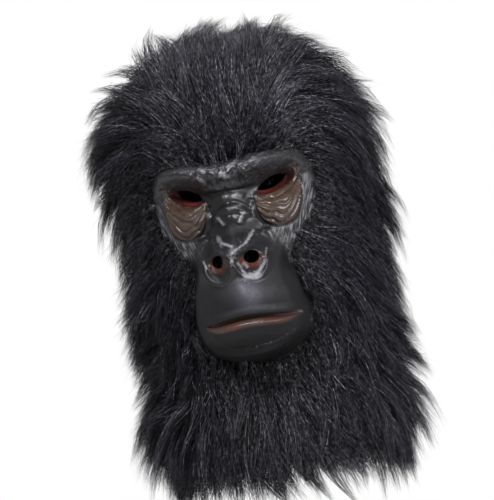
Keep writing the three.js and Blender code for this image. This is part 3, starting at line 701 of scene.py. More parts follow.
def fine_relief(x, drop):
    """All that the casting adds to its main forms."""
    upper = brow_relief(x, drop) + eye_relief(x, drop) + cheek_relief(x, drop)
    return creases(x, drop) + upper + mouth_relief(x, drop) + nose_relief(x, drop)


def front_depth(x, drop):
    """How far the head form stands before its axis, at a place across and a drop."""
    side, front, _ = section(drop)
    share = np.clip(np.abs(x) / side, 0, 0.995)
    return front * (1 - share**SECTION_POWER) ** (1 / SECTION_POWER)


def lean(depth, x, drop):
    """The way through a wall along Y where it leans: sqrt(1 + slopes^2), up to a limit."""
    across = depth(x + 0.5, drop) - depth(x - 0.5, drop)
    down = depth(x, drop + 0.5) - depth(x, drop - 0.5)
    return np.minimum(np.sqrt(1 + across**2 + down**2), MOST_LEAN)


def plain_face(x, drop):
    """Depth of the casting's outside with its main forms alone, clear of the hood."""
    under_hood = front_depth(x, drop) - LATEX_GAP * lean(front_depth, x, drop)
    return under_hood + edge_share(x, drop) * main_forms(x, drop)


HEIGHT_KEYS = [-1.0, -0.6, -0.2, 0.2, 0.6, 1.0]
HEIGHT_HALF = [1.2, 1.17, 1.08, 0.97, 0.92, 0.74]
CORNER_ROUND = 0.2


def face_place(u, v):
    """Place (x, drop) of the grid: a square with rounded corners, as wide as the table at each height."""
    across = u * np.sqrt(1 - CORNER_ROUND * v * v)
    height = v * np.sqrt(1 - CORNER_ROUND * u * u)
    top, bottom = FACE_TOP - RIM_WIDTH, FACE_TOP + FACE_HEIGHT + RIM_WIDTH
    x = across * curve_through(HEIGHT_KEYS, HEIGHT_HALF, height) * HALF_FACE
    return x, top + (bottom - top) * (height + 1) / 2


HOLES = [
    (side, side * hole[0] + middle_line(hole[1]), *hole[1:])
    for hole in (
        (EYE_ACROSS, EYE_DROP, EYE_LENGTH, EYE_HEIGHT, EYE_TILT, EYE_PINCH),
        (NOSTRIL_ACROSS, NOSTRIL_DROP, NOSTRIL_LENGTH, NOSTRIL_HEIGHT, 0.0, 0.0),
    )
    for side in (1, -1)
]
HOLE_REACH = 2.1


def hole_edge(hole, a, b):
    """The point of a hole's outline towards (a, b) on a square's edge: the square bent to an ellipse."""
    side, x, drop, length, height, tilt, pinch = hole
    ea, eb = a * np.sqrt(1 - b * b / 2), b * np.sqrt(1 - a * a / 2)
    along = length / 2 * ea
    over = height / 2 * eb * (1 - pinch * ea * ea)
    c, s = math.cos(math.radians(tilt)), math.sin(math.radians(tilt)) * side
    return x + along * c + over * s, drop - along * s + over * c


def grid_place(i, j):
    """The place of a column and row of the face's grid."""
    return face_place(-1 + 2 * i / FACE_COLUMNS, -1 + 2 * j / FACE_ROWS)


def face_grid():
    """The grid's places, bent round each hole so that a block of cells can be left out, and its quads."""
    i, j = np.meshgrid(np.arange(FACE_COLUMNS + 1), np.arange(FACE_ROWS + 1))
    plain_x, plain_drop = grid_place(i, j)
    x, drop = plain_x, plain_drop
    holed = np.zeros((FACE_ROWS, FACE_COLUMNS), bool)
    for hole in HOLES:
        distance = np.hypot(plain_x - hole[1], plain_drop - hole[2])
        cj, ci = np.unravel_index(np.argmin(distance), distance.shape)
        half_i = max(1, round(hole[3] / 2 / (plain_x[cj, ci + 1] - plain_x[cj, ci])))
        half_j = max(1, round(hole[4] / 2 / (plain_drop[cj + 1, ci] - plain_drop[cj, ci])))
        a, b = (i - ci) / half_i, (j - cj) / half_j
        far = np.maximum(np.abs(a), np.abs(b))
        over = np.where(far > 0, far, 1)
        edge_x, edge_drop = hole_edge(hole, a / over, b / over)
        was_x, was_drop = grid_place(ci + half_i * a / over, cj + half_j * b / over)
        bent = (far > 0.999) & (far < HOLE_REACH)
        share = np.where(bent, 1 - smooth((far - 1) / (HOLE_REACH - 1)), 0)
        x = x + (edge_x - was_x) * share
        drop = drop + (edge_drop - was_drop) * share
        a, b = (i[:-1, :-1] + 0.5 - ci) / half_i, (j[:-1, :-1] + 0.5 - cj) / half_j
        holed |= np.maximum(np.abs(a), np.abs(b)) < 1
    p = (j * (FACE_COLUMNS + 1) + i)[:-1, :-1][~holed]
    quads = np.stack([p, p + FACE_COLUMNS + 1, p + FACE_COLUMNS + 2, p + 1], -1)
    return x.ravel(), drop.ravel(), quads


face_x, face_drop, face_quads = face_grid()
plain = plain_face(face_x, face_drop)
share = edge_share(face_x, face_drop)
face_out = plain + share * fine_relief(face_x, face_drop) + edge_line(face_x, face_drop)
face_in = np.minimum(plain - LATEX_WALL * lean(plain_face, face_x, face_drop), face_out - LEAST_WALL)

# Painted highlights: grey strokes laid where light glints on what stands out: start and end of a stroke
# as across and down from the brow's top, half its width in mm, and its strength.
HIGHLIGHT_STROKES = [
    (-18.5, 17, -15, 21, 2.0, 0.75),  # brow
    (-17, 11, -12, 12.5, 1.8, 0.4),
    (0, 17, 4, 20, 2.6, 0.8),
    (6, 13, 12, 9, 1.9, 0.5),
    (14, 15, 28, 9, 1.8, 0.35),
    (24, 9, 36, 4, 1.7, 0.3),
    (-2, 35, 7, 34, 2.4, 0.35),  # bridge
    (1, 44.5, 9, 43, 1.5, 0.45),
    (-10, 50, -6, 55, 1.5, 0.7),  # ridges of the nose
    (10, 49, 7, 55, 1.5, 0.7),
    (-12, 65, -8.5, 70, 2.2, 0.7),  # rims above the nostrils
    (-9, 69, 0, 73, 1.0, 0.95),
    (15, 64, 10, 72, 1.3, 0.9),
    (10, 72, 1, 78, 1.0, 0.85),
    (4.5, 86, 8, 95, 0.9, 0.8),  # rims and bowls below them
    (9, 97.5, 17, 97.5, 3.0, 1.0),
    (17, 96, 22.5, 88, 1.7, 0.85),
    (22.5, 87, 24, 78, 0.8, 0.5),
    (8, 87, 9.5, 90, 1.4, 0.7),
    (-26, 81, -23, 86, 1.0, 1.0),
    (-18, 95, -11, 100, 2.2, 0.16),
    (11, 102, 11, 117, 4.2, 0.15),  # strip above the lip
    (8, 132.5, 16, 132, 1.3, 0.4),  # lower lip
    (40, 130.2, 41, 130.8, 0.9, 0.5),  # corner of the mouth
    (4, 151, 22, 149, 0.8, 0.24),  # chin
    (22, 149, 38, 142, 0.7, 0.18),
    (37, 76, 39, 92, 2.6, 0.26),  # side of the muzzle
    (39, 92, 46, 108, 1.8, 0.22),
    (46, 108, 49, 124, 2.2, 0.2),
    (49, 124, 44, 140, 1.4, 0.2),
    (47, 98, 51, 112, 0.7, 0.4),
]


def highlight_share(x, drop):
    """The strongest painted highlight at a place: strength * exp(-(distance / width)^2)."""
    most = np.zeros(np.broadcast(x, drop).shape)
    for ax, ad, bx, bd, wide, strength in HIGHLIGHT_STROKES:
        distance, _ = from_piece(x, drop - FACE_TOP, (ax, ad), (bx, bd))
        most = np.maximum(most, strength * bell(distance / wide))
    return most


# Paint: brown eye bags with painted shade in their fold valleys, red lids that fade to painted shade
# towards the holes, red-brown nostrils and lower lip, painted shade in the nostrils' bowls and over the
# chin, a duller skin on the muzzle and under the brow, grey dust over the raised parts that is also a
# painted highlight, painted highlights in strokes, a painted sheen on the strip above the lip, and grey
# brushed over the hair that is moulded at the cheeks. Each layer is a share from 0 to 1 at every point.
down = face_drop - FACE_TOP
from_middle = np.abs(face_x)
from_line = np.abs(face_x - middle_line(face_drop))
_, eye_over = eye_place(face_x, face_drop)
# Painted shade: the red of the lid fades to the dark skin towards the hole, where the recess is deepest.
lid_shade_near_hole = 1 - 0.6 * smooth((1.3 - hole_size(face_x, face_drop)) / 0.3)
lid = smooth((1.04 - lid_size(face_x, face_drop)) / 0.24) * smooth((eye_over + 2.6) / 1.6) * lid_shade_near_hole
# Painted shade: the brown of the bag is halved in the valleys between its folds.
fold_backs = smooth((fold_height(face_x, face_drop) + 0.5) / 0.7)
bag = bag_share(face_x, face_drop) * (0.5 + 0.5 * fold_backs)

red_size = np.hypot((from_line - NOSTRIL_ACROSS) / 8.0, (face_drop - NOSTRIL_DROP - 1.0) / 7.4)
nostril = smooth((1.3 - red_size) / 0.6) * smooth((face_drop - NOSTRIL_DROP + 3) / 4)
bowl_in = bowl_size(face_x, face_drop)
# Painted shade, near black: in the nostrils' bowls, at the outer corner of one nostril, and over the lower
# chin.
nostril_corner_shade = bell(np.hypot((face_x + 19.5) / 4.5, (down - 77) / 2.4))
chin = 0.8 * smooth((down - 138) / 12)
shade = np.maximum.reduce([smooth((1.0 - bowl_in) / 0.3), nostril_corner_shade, chin])

lip_over = mouth_over(face_x, face_drop)
lip_depth = 9.0 - 4 * smooth((from_line - 22) / 14)
lip = smooth((lip_over + 1.8) / 1.4) * smooth((lip_depth - lip_over) / 3.5)
lip = lip * smooth((MOUTH_REACH + 1 - from_line) / 5) * (1 - 0.45 * smooth((face_x - 12) / 12))

# Grey dust over the raised parts that is also a painted highlight on them: less on the nose, none below it,
# and a lighter coat over the whole brow.
raised = smooth((creases(face_x, face_drop) + brow_relief(face_x, face_drop) - 0.3) / 1.4)
raised = raised * (1 - 0.7 * smooth((down - 40) / 12)) * smooth((84 - down) / 8)
raised = np.maximum(raised, 0.45 * smooth((30 - down) / 6))
strip = strip_share(face_x, face_drop)
muzzle = smooth((down - 92) / 10) * (1 - strip) * (1 - lip) * smooth((bowl_in - 1.25) / 0.2)
from_brow = down - curve_through(BROW_KEYS, BROW_DOWN, from_middle)
under_brow = smooth((from_brow + 2) / 2) * smooth((-eye_over - 2) / 2) * smooth((from_middle - 10) / 6)
brow_top = smooth((13 - down) / 4)
nose_top = smooth((down - 54) / 4) * smooth((65 - down) / 4) * smooth((22 - from_middle) / 6)
layers = {
    "lid": lid,
    "nostril": nostril,
    "lip": lip,
    "shade": shade,
    "raised": raised,
    "strip": strip,
    "matt": np.maximum.reduce([muzzle, under_brow, brow_top, nose_top]),
    "painted_highlight": highlight_share(face_x, face_drop),
    "brushed": cheek_share(face_x, face_drop) * (0.5 + 0.5 * smooth((down - 36) / 16)),
}

outside = np.stack([face_x, -face_out, -face_drop], -1)
inside = np.stack([face_x, -face_in, -face_drop], -1)
none = np.zeros(len(face_x))
paint = {name: np.concatenate([share, none]) for name, share in layers.items()}
paint["bag"] = np.concatenate([bag, bag])
paint["lining"] = np.concatenate([none, none + 1])
strokes = np.stack(stroke_place(face_x, face_drop), -1)
face_faces, face_points, face_strokes, *face_paint = keep_used(
    close_wall(face_quads, len(outside)),
    np.concatenate([outside, inside]),
    np.concatenate([strokes, strokes]),
    *paint.values(),
)
face = add_mesh("latex_face", face_points, face_faces)
add_uv(face, "moulded_hair", face_faces, face_strokes)
for name, values in zip(paint, face_paint):
    store(face, name, values)

SKIN_DARK, SKIN_LIGHT = (0.006, 0.006, 0.0065, 1), (0.012, 0.012, 0.013, 1)
BAG_DARK, BAG_LIGHT = (0.05, 0.031, 0.021, 1), (0.1, 0.064, 0.044, 1)
LIP_RED, LIP_BROWN = (0.115, 0.032, 0.02, 1), (0.07, 0.042, 0.03, 1)
LID_RED, LID_DARK = (0.2, 0.028, 0.017, 1), (0.075, 0.013, 0.01, 1)
NOSTRIL_RED = (0.07, 0.02, 0.011, 1)
SHADE_BLACK, LINING_BLACK = (0.003, 0.003, 0.003, 1), (0.012, 0.012, 0.013, 1)
DUST_AND_HIGHLIGHT_GREY, STRIP_SHEEN_GREY = (0.15, 0.15, 0.16, 1), (0.12, 0.12, 0.16, 1)
HIGHLIGHT_GREY, HAIR_GREY = (0.34, 0.34, 0.36, 1), (0.24, 0.24, 0.25, 1)

latex, n = new_material("painted_latex")
here = n.add("ShaderNodeTexCoord").outputs["Object"]
mask = {name: n.attribute(name) for name in paint}
hair_at = n.add("ShaderNodeUVMap", uv_map="moulded_hair").outputs[0]
drawn_out = n.add("ShaderNodeMapping", {"Vector": hair_at, "Scale": (1.1, 0.1, 1.0)}).outputs[0]
strands = n.noise(drawn_out, 1.0, detail=4.0, rough=0.65)
skin = grain(n, here, SKIN_DARK, SKIN_LIGHT, 55.0, 900.0)
brown = grain(n, here, BAG_DARK, BAG_LIGHT, 90.0, 500.0)
wash = n.noise(here, 34.0, detail=2.0)
mottle = n.noise(here, 420.0, detail=4.0, rough=0.7)
# Painted highlights: the strokes, broken up by a fine mottle.
broken = n.plus(mask["painted_highlight"], n.between(mottle, 0.35, 0.65, -0.32, 0.32))
painted_highlight = n.times(n.between(mask["painted_highlight"], 0.02, 0.3), n.between(broken, 0.12, 1.1, 0.0, 0.8))
hair_tops = n.times(n.times(mask["brushed"], n.between(strands, 0.48, 0.62)), 0.85)
color = skin["Color"]
for share, coat in (
    (n.times(mask["bag"], n.between(wash, 0.3, 0.6, 0.7, 1.0)), brown["Color"]),
    (n.times(mask["shade"], 0.6), SHADE_BLACK),
    (n.times(mask["nostril"], 0.9), NOSTRIL_RED),
    (n.times(mask["lip"], 0.85), n.mix(n.between(wash, 0.35, 0.65), LIP_RED, LIP_BROWN)),
    (mask["lid"], n.mix(n.between(wash, 0.38, 0.6), LID_RED, LID_DARK)),
    (n.times(mask["raised"], n.between(mottle, 0.45, 0.62, 0.0, 0.55)), DUST_AND_HIGHLIGHT_GREY),
    # A painted sheen along the strip above the lip.
    (n.times(mask["strip"], 0.36), STRIP_SHEEN_GREY),
    (painted_highlight, HIGHLIGHT_GREY),
    (hair_tops, HAIR_GREY),
    (mask["lining"], LINING_BLACK),
):
    color = n.mix(share, color, coat)
wrinkles = n.noise(here, 260.0, detail=4.0, bend=0.6)
rough = n.between(wrinkles, 0.3, 0.7, 0.28, 0.4)
for share, more in (
    (mask["bag"], -0.08),
    (mask["matt"], 0.28),
    (n.math("MAXIMUM", mask["lid"], mask["strip"]), 0.16),
    (n.math("MAXIMUM", mask["brushed"], mask["lining"]), 0.2),
):
    rough = n.plus(rough, n.times(share, more))
gloss = n.minus(0.5, n.times(n.plus(mask["matt"], mask["shade"]), 0.16))
height = n.plus(n.times(skin["Height"], 0.35), n.times(wrinkles, 0.22))
height = n.plus(height, n.times(n.times(mask["brushed"], strands), 2.0))
bump = n.bump(height, 0.5, 0.0007)
finish_material(n, Base_Color=color, Roughness=rough, Normal=bump, Specular_IOR_Level=gloss)
face.data.materials.append(latex)
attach(face, "root")
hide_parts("face")

# Pile: long acrylic hair of the hood's fur fabric, brushed away from the face and down, in tufts that
# taper to points. Each tuft is a bundle of hairs round one line, which rises from the cloth and follows
# the form, and every hair is a thin ribbon that ends in a point.
PILE_GAP, PILE_DEPTH, EDGE_DEPTH, PILE_RAMP = 0.3, 38.0, 6.0, 40.0
PILE_WAY = [0.0, 0.3, 0.5, 0.7, 1.0, 1.5, 1.75, 2.0]
PILE_SHARE = [0.3, 0.44, 0.64, 0.75, 0.8, 1.0, 0.94, 0.62]
HAIR_WAY = [0.0, 0.5, 1.0, 1.5, 1.8, 2.0]
HAIR_LENGTH = [56.0, 62.0, 78.0, 80.0, 66.0, 46.0]
TUFTS_TRIED, HAIRS_PER_TUFT = 6000, 44
TUFT_RADIUS, TUFT_STATIONS, HAIR_STATIONS = 12.0, 8, 4
HAIR_WIDTH, FRIZZ, MOST_HEIGHT = 0.43, 3.0, 48.0
STANDING_SHARE, STANDING_DRAWN = 0.3, 0.94
RIGHT_FULL, LEFT_FULL = 1.2, 0.28
CROWN_WAY, BACK_TURN = 0.72, 127.0
BEARD_TOP_DROP, BEARD_TOP_WIDTH, BEARD_HEM_WIDTH = 236.0, 100.0, 134.0
chance = np.random.default_rng(6)


def unit(vectors):
    """The vectors at length 1."""
    return vectors / (np.linalg.norm(vectors, axis=-1, keepdims=True) + 1e-12)


def pile_flow(points, out):
    """The way the pile lies: away from the middle of the face and down, more so at the sides, at the back
    and below the chin, with the part along the outward direction taken away."""
    middle = np.array([0.0, -HALF_DEPTH, -FACE_TOP - 0.45 * FACE_HEIGHT])
    behind = smooth((points[..., 1] + HALF_DEPTH / 2) / HALF_DEPTH)
    below = smooth((-points[..., 2] - FACE_TOP - 0.6 * FACE_HEIGHT) / (0.7 * FACE_HEIGHT))
    beside = smooth((-points[..., 2] - FACE_TOP + 30) / 90)
    beside = np.maximum(beside, smooth((np.abs(points[..., 0]) - 22) / 48))
    flow = unit(points - middle) * (1 - 0.65 * np.maximum(behind, below))[..., None]
    flow[..., 2] -= 0.2 + 0.8 * np.maximum(behind, beside)
    return unit(flow - out * np.sum(flow * out, -1, keepdims=True))


def edge_away(points):
    """How far a place in front lies outside the face's edge, and the whole ramp of the pile behind."""
    return np.where(points[..., 1] < 0, -inside_edge(points[..., 0], points[..., 2]), PILE_RAMP)


def pile_reach(points, turn, way):
    """Depth of the pile over the form: the table's share of the full depth, a little more at the sides
    than in front and behind, climbing from the face's edge."""
    full = PILE_DEPTH * curve_through(PILE_WAY, PILE_SHARE, way) * (0.8 + 0.2 * np.sin(turn) ** 2)
    low = np.minimum(EDGE_DEPTH, full)
    return CLOTH_WALL + PILE_GAP + low + (full - low) * smooth(edge_away(points) / PILE_RAMP)


def tuft_roots(count):
    """Turns and ways spread evenly over the form: an additive sequence in three numbers, whose ratio
    solves r^4 = r + 1. The third number drops places in keeping with the local area, and places in the
    face opening are left out."""
    ratio = 1.2207440846
    steps = ratio ** -np.arange(1.0, 4.0)
    spread = (0.5 + np.arange(1, count + 1)[:, None] * steps) % 1
    turn, way = 2 * math.pi * spread[:, 0], 2 * spread[:, 1]
    step = 0.01
    across = head_point(turn + step, way) - head_point(turn - step, way)
    down = head_point(turn, way + step) - head_point(turn, way - step)
    area = np.linalg.norm(np.cross(across, down), axis=-1)
    kept = spread[:, 2] < area / np.percentile(area, 97)
    place = head_point(turn, way)
    kept &= (place[:, 1] > 0) | (inside_edge(place[:, 0], place[:, 2]) < -1.5)
    return turn[kept], way[kept]


def turned(vectors, axis, angle):
    """Vectors turned about an axis that is square to them."""
    angle = np.asarray(angle)[..., None]
    return vectors * np.cos(angle) + np.cross(axis, vectors) * np.sin(angle)


def tuft_lines(ground, base, length, height, rise, veer):
    """Each tuft's line: steps along the pile's flow on the form, lifted from the root's own height, base,
    by height * (1 - (1 - s)^rise). Gives its points and directions: along, side and out."""
    points = []
    outs = []
    stations = np.linspace(0, 1, TUFT_STATIONS)
    travel = np.sqrt(np.maximum(length**2 - height**2, (0.35 * length) ** 2)) / (TUFT_STATIONS - 1)
    for s in stations:
        out, _ = head_normal(ground)
        lifted = base * (1 - s) + height * (1 - (1 - s) ** rise)
        points.append(ground + out * lifted[:, None])
        outs.append(out)
        flow = turned(pile_flow(ground, out), out, veer * (0.4 + 0.6 * s))
        ground = onto_head(ground + flow * travel[:, None])
    points, outs = np.stack(points, 1), np.stack(outs, 1)
    along = unit(np.gradient(points, axis=1))
    side = unit(np.cross(along, outs))
    return points, along, side, np.cross(side, along)


def at_stations(values, tuft, where):
    """The tufts' values between stations, by straight lines: where is 0 at the root and 1 at the tip."""
    place = np.clip(where, 0, 1) * (TUFT_STATIONS - 1)
    low = np.minimum(place.astype(int), TUFT_STATIONS - 2)
    share = (place - low)[..., None]
    return values[tuft[:, None], low] * (1 - share) + values[tuft[:, None], low + 1] * share


def hair_ribbons(lines, tuft, radius, width, frizz, drawn, shade):
    """Hairs round their tufts' lines. A root lies in a disc, the hair draws in towards the line, at least
    by its tuft's share, drawn, swings by a slow wave, and is a ribbon turned by chance about itself.
    Gives points, triangles and UV, whose u is the hair's tone: chance^shade."""
    count = len(tuft)
    s = np.linspace(0, 1, HAIR_STATIONS)[None, :]
    reach = 0.55 + 0.45 * np.sqrt(chance.random((count, 1)))
    where = s * reach
    angle, far = 2 * math.pi * chance.random((count, 1)), radius * np.sqrt(chance.random((count, 1)))
    draw = np.maximum(1 - 0.85 * chance.random((count, 1)) ** 1.6, drawn[tuft][:, None])
    gather = 1 - draw * where**0.9
    a, b = far * np.cos(angle), far * np.sin(angle)
    c = radius * 0.55 * (chance.random((count, 1)) - 0.5) * np.sin(math.pi * np.minimum(where, 0.8))
    most = np.minimum(chance.exponential(frizz, (count, 2, 1)), 3 * frizz)
    waves = chance.uniform(0.5, 1.9, (count, 2, 1)) * s[:, None] + chance.random((count, 2, 1))
    swing = most * np.sin(2 * math.pi * waves) * s[:, None] * (1 - 0.75 * drawn[tuft])[:, None, None]
    middle, along, side, out = (at_stations(values, tuft, where) for values in lines)
    center = middle + side * (a * gather + swing[:, 0])[..., None]
    center = center + along * (b * gather)[..., None] + out * (c + swing[:, 1])[..., None]
    roll = chance.normal(0.0, 0.7, (count, 1))[..., None]
    across = side * np.cos(roll) + out * np.sin(roll)
    half = width / 2 * (1 - 0.75 * s**1.5)
    left, right = center - across * half[..., None], center + across * half[..., None]
    pairs = np.stack([left[:, :-1], right[:, :-1]], 2).reshape(count, -1, 3)
    made = np.concatenate([pairs, center[:, -1:]], 1)
    per_hair = made.shape[1]
    first = 2 * np.arange(HAIR_STATIONS - 2)[:, None]
    body = np.concatenate([first + [0, 1, 3], first + [0, 3, 2]])
    tip = np.array([[per_hair - 3, per_hair - 2, per_hair - 1]])
    pattern = np.concatenate([body, tip])
    faces = (pattern[None] + per_hair * np.arange(count)[:, None, None]).reshape(-1, 3)
    tone = chance.random((count, 1)) ** shade * np.ones((1, per_hair))
    v = np.concatenate([np.repeat(s[0, :-1], 2), [1.0]])[None] * np.ones((count, 1))
    return made.reshape(-1, 3), faces, np.stack([tone, v], -1).reshape(-1, 2)


def fur_piece(name, node, points, faces, places):
    """A mesh of hairs that stands for one of the pile's solids."""
    made = add_mesh(name, points, faces)
    add_uv(made, "OFBake", faces, places)
    made.data.materials.append(hair_material)
    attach(made, "root")
    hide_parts(node)


HAIR_TONES = [
    (0.0, (0.0032, 0.003, 0.0056, 1)),
    (0.55, (0.0078, 0.0072, 0.0145, 1)),
    (0.86, (0.028, 0.0265, 0.045, 1)),
    (1.0, (0.13, 0.127, 0.165, 1)),
]
UNGLINTED_BLACK, ROOT_SHADE_BLACK = (0.003, 0.003, 0.0045, 1), (0.003, 0.003, 0.004, 1)

hair_material, n = new_material("acrylic_pile")
here = n.add("ShaderNodeTexCoord").outputs["Object"]
hair_uv = n.add("ShaderNodeUVMap", uv_map="OFBake").outputs[0]
tone, along_hair = n.add("ShaderNodeSeparateXYZ", {0: hair_uv}).outputs[:2]
ramp = n.add("ShaderNodeValToRGB", {0: tone})
stops = ramp.color_ramp.elements
for place, color in HAIR_TONES:
    stop = stops[0] if place == 0 else stops[-1] if place == 1 else stops.new(place)
    stop.color = color
# Painted glints: the hair keeps its tone where the flecks are high, and is darkened nearly to black
# elsewhere.
flecks = n.noise(here, 360.0, detail=3.0, rough=0.6)
painted_glint = n.between(flecks, 0.5, 0.62)
hair_color = n.mix(painted_glint, n.mix(0.8, ramp.outputs[0], UNGLINTED_BLACK), ramp.outputs[0])
# Painted shade: each hair darkens towards its root, deep in the pile.
hair_color = n.mix(n.between(along_hair, 0.0, 0.35, 0.7, 0.0), hair_color, ROOT_SHADE_BLACK)
gloss = n.between(flecks, 0.46, 0.62, 0.18, 0.92)
hair_rough = n.between(tone, 0.0, 1.0, 0.52, 0.36)
finish_material(n, Base_Color=hair_color, Roughness=hair_rough, Specular_IOR_Level=gloss)

turn, way = tuft_roots(TUFTS_TRIED)
ground = head_point(turn, way)
depth = pile_reach(ground, turn, way)
length = curve_through(HAIR_WAY, HAIR_LENGTH, way) * (0.45 + 0.55 * smooth(edge_away(ground) / 26))
length = length * chance.uniform(0.7, 1.15, len(turn))
side = np.sin(turn) ** 2 * smooth((way - 0.3) / 0.4) * smooth((2.1 - way) / 0.5)
side = side * np.where(ground[:, 0] < 0, RIGHT_FULL, LEFT_FULL)
gust = np.sin(0.11 * ground[:, 2] + 1.3 * np.sin(0.06 * ground[:, 1])) * np.sin(0.09 * ground[:, 0] + 1.0)
height = depth * (1 + side + 0.15 * gust) * chance.uniform(0.6, 1.12, len(turn))
height = height * (1 - 0.45 * smooth((way - 1.5) / 0.4))
stands = chance.random(len(turn)) < STANDING_SHARE
length, height = length * (1 + 0.2 * stands), np.minimum(height * (1 + 0.3 * stands), MOST_HEIGHT)
height = np.minimum(height, 0.8 * length)
field = np.sin(0.045 * ground[:, 0] + 2.1) * np.sin(0.05 * ground[:, 2]) + np.sin(0.06 * ground[:, 1] + 0.7)
veer = np.radians(14 * field + chance.normal(0, 18, len(turn)))
base = np.full(len(turn), CLOTH_WALL - 0.5)
drawn = np.where(stands, STANDING_DRAWN, 0.0)
lines = tuft_lines(ground, base, length, height, chance.uniform(0.95, 1.7, len(turn)), veer)

beard_down = (-ground[:, 2] - BEARD_TOP_DROP) / (HOOD_DROP - BEARD_TOP_DROP)
beard_half = (BEARD_TOP_WIDTH + (BEARD_HEM_WIDTH - BEARD_TOP_WIDTH) * beard_down) / 2
in_beard = (ground[:, 1] < 0) & (beard_down > 0) & (np.abs(ground[:, 0]) < beard_half)
round_turn = (turn + math.pi) % (2 * math.pi) - math.pi
crown = (way < CROWN_WAY) & ~in_beard
back = (np.abs(round_turn) > math.radians(BACK_TURN)) & ~crown & ~in_beard
# Tone powers: the beard's 1.4 is painted shade under the chin, the left side's 0.6 painted light where it
# lies in shade.
for name, node, chosen, shade in (
    ("fur_crown", "coat", crown, 1.0),
    ("fur_back", "coat", back, 1.0),
    ("fur_left", "coat", (round_turn >= 0) & ~crown & ~back & ~in_beard, 0.6),
    ("fur_right", "coat", (round_turn < 0) & ~crown & ~back & ~in_beard, 1.0),
    ("fur_beard", "beard", in_beard, 1.4),
):
    tufts = np.repeat(np.flatnonzero(chosen), HAIRS_PER_TUFT)
    hairs = hair_ribbons(lines, tufts, TUFT_RADIUS, HAIR_WIDTH, FRIZZ, drawn, shade)
    fur_piece(name, node, *hairs)

# Fringe: short pile round the face, whose cloth edge is glued down on the latex and hidden by it.
FRINGE_TUFTS, FRINGE_HAIRS, FRINGE_RADIUS = 1500, 14, 3.2
FRINGE_OUT, FRINGE_IN, FRINGE_LENGTH, FRINGE_HEIGHT = 5.0, 4.4, 20.0, 5.5
FRINGE_WIDTH, FRINGE_FRIZZ = 0.4, 1.2


def fringe_roots(count):
    """Places along the opening's edge, from a little outside it to the pile's inner line on the latex,
    and how high the latex or the cloth stands over the head form there. The line lies further in over
    the frown and at the right of the jaw, and less far in beside the left of the muzzle."""
    spread = (0.5 + np.arange(1, count + 1)) / count % 1
    at = spread * len(FACE_EDGE)
    low = at.astype(int) % len(FACE_EDGE)
    share = (at % 1)[:, None]
    edge = FACE_EDGE[low] * (1 - share) + np.roll(FACE_EDGE, -1, axis=0)[low] * share
    out_x, out_z = away_from_edge(edge[:, 0], edge[:, 1])
    down = -edge[:, 1] - FACE_TOP
    frown = bell(edge[:, 0] / 24) * smooth((20 - down) / 10)
    right_jaw = bell((down - 144) / 15) * smooth(-edge[:, 0] / 14)
    left_muzzle = smooth(edge[:, 0] / 20) * smooth((down - 84) / 20)
    line = FRINGE_IN + 3.5 * frown + 4.0 * right_jaw - 3.4 * left_muzzle
    line = line * chance.uniform(0.6, 1.5, count)
    inset = line - (line + FRINGE_OUT) * chance.random(count) ** 0.8
    x, drop = edge[:, 0] - out_x * inset, -edge[:, 1] + out_z * inset
    form = front_depth(x, drop)
    latex_depth = plain_face(x, drop) + edge_share(x, drop) * fine_relief(x, drop)
    over = np.where(inset > 0, latex_depth - form, CLOTH_WALL - 0.5)
    ground = np.stack([x, -form, -drop], -1)
    normal, _ = head_normal(ground)
    return ground, over * -normal[:, 1]


ground, base = fringe_roots(FRINGE_TUFTS)
length = FRINGE_LENGTH * chance.uniform(0.6, 1.3, len(ground))
height = FRINGE_HEIGHT * chance.uniform(0.7, 1.4, len(ground))
veer = np.radians(chance.normal(0, 22, len(ground)))
lines = tuft_lines(ground, base, length, height, chance.uniform(1.0, 1.8, len(ground)), veer)
tufts = np.repeat(np.arange(len(ground)), FRINGE_HAIRS)
not_drawn = np.zeros(len(ground))
hairs = hair_ribbons(lines, tufts, FRINGE_RADIUS, FRINGE_WIDTH, FRINGE_FRIZZ, not_drawn, 1.3)
fur_piece("fur_fringe", "coat", *hairs)

# Camera: a long lens level with the mask, a little to the side of its face and rolled, so that the mask
# tilts in the picture.
PHOTO_HEIGHT, MM_PER_PIXEL = 500, 0.8
AZIMUTH, ROLL = 8.5, 10.0
DISTANCE, SENSOR = 2.4, 36.0
AIM_ACROSS, AIM_HEIGHT = -0.0075, -0.1616

azimuth = math.radians(AZIMUTH)
towards = Vector((math.sin(azimuth), -math.cos(azimuth), 0.0))
aim = Vector((AIM_ACROSS * math.cos(azimuth), AIM_ACROSS * math.sin(azimuth), AIM_HEIGHT))
camera_data = bpy.data.cameras.new("camera")
camera_data.sensor_width = SENSOR
camera_data.lens = SENSOR * DISTANCE / (PHOTO_HEIGHT * MM_PER_PIXEL / 1000)
camera = add_object("camera", camera_data)
bpy.context.scene.camera = camera
camera.rotation_mode = "QUATERNION"
level = (-towards).to_track_quat("-Z", "Y")
camera.rotation_quaternion = level @ Matrix.Rotation(math.radians(-ROLL), 3, "Z").to_quaternion()
camera.location = aim + towards * DISTANCE

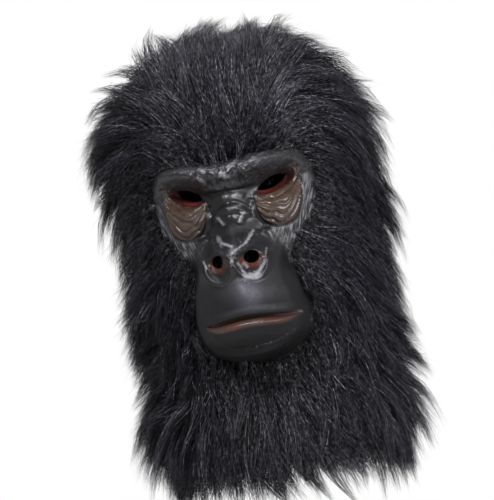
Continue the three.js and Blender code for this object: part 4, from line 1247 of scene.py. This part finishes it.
# Stage: a wide pale floor well below the mask, a white surround, and large soft lamps in front.
FLOOR_HEIGHT, FLOOR_RADIUS, FLOOR_SIDES = -1250.0, 7000.0, 96
FLOOR_DARK, FLOOR_LIGHT = (0.8, 0.8, 0.8, 1), (0.84, 0.84, 0.84, 1)
WHITE, SURROUND_LIGHT, SURROUND_SEEN = (1, 1, 1, 1), 0.3, 1.0

angles = np.linspace(0, 2 * math.pi, FLOOR_SIDES + 1)[:-1]
ring = np.stack([np.cos(angles), np.sin(angles), 0 * angles], -1) * FLOOR_RADIUS
floor = add_mesh("floor", ring + [0, 0, FLOOR_HEIGHT], np.arange(FLOOR_SIDES)[None])
pale, n = new_material("pale_floor")
here = n.add("ShaderNodeTexCoord").outputs["Object"]
finish_material(n, Base_Color=n.mix(n.noise(here, 3.0), FLOOR_DARK, FLOOR_LIGHT), Roughness=0.9)
floor.data.materials.append(pale)

world = bpy.data.worlds.new("studio")
bpy.context.scene.world = world
world.use_nodes = True
world.node_tree.nodes.clear()
n = Nodes(world.node_tree)
seen = n.add("ShaderNodeLightPath").outputs["Is Camera Ray"]
power = n.between(seen, 0.0, 1.0, SURROUND_LIGHT, SURROUND_SEEN)
surround = n.add("ShaderNodeBackground", {0: WHITE, 1: power})
n.add("ShaderNodeOutputWorld", {0: surround.outputs[0]})

# Square lamps turned towards the middle of the mask: place, side in metres and power in watts.
LAMP_COLOR = (0.96, 0.94, 1.0)
for name, place, size, power in (
    ("key_lamp", (-0.4, -1.7, 1.4), 0.4, 42),
    ("fill_lamp", (1.6, -1.0, 0.6), 0.9, 34),
    ("top_lamp", (-0.1, 0.2, 1.5), 0.9, 22),
):
    data = bpy.data.lights.new(name, "AREA")
    data.size = size
    data.energy = power
    data.color = LAMP_COLOR
    lamp = add_object(name, data)
    lamp.location = place
    lamp.rotation_mode = "QUATERNION"
    lamp.rotation_quaternion = (Vector((0, 0, AIM_HEIGHT)) - Vector(place)).to_track_quat("-Z", "Y")

bpy.context.scene.view_settings.view_transform = "Standard"
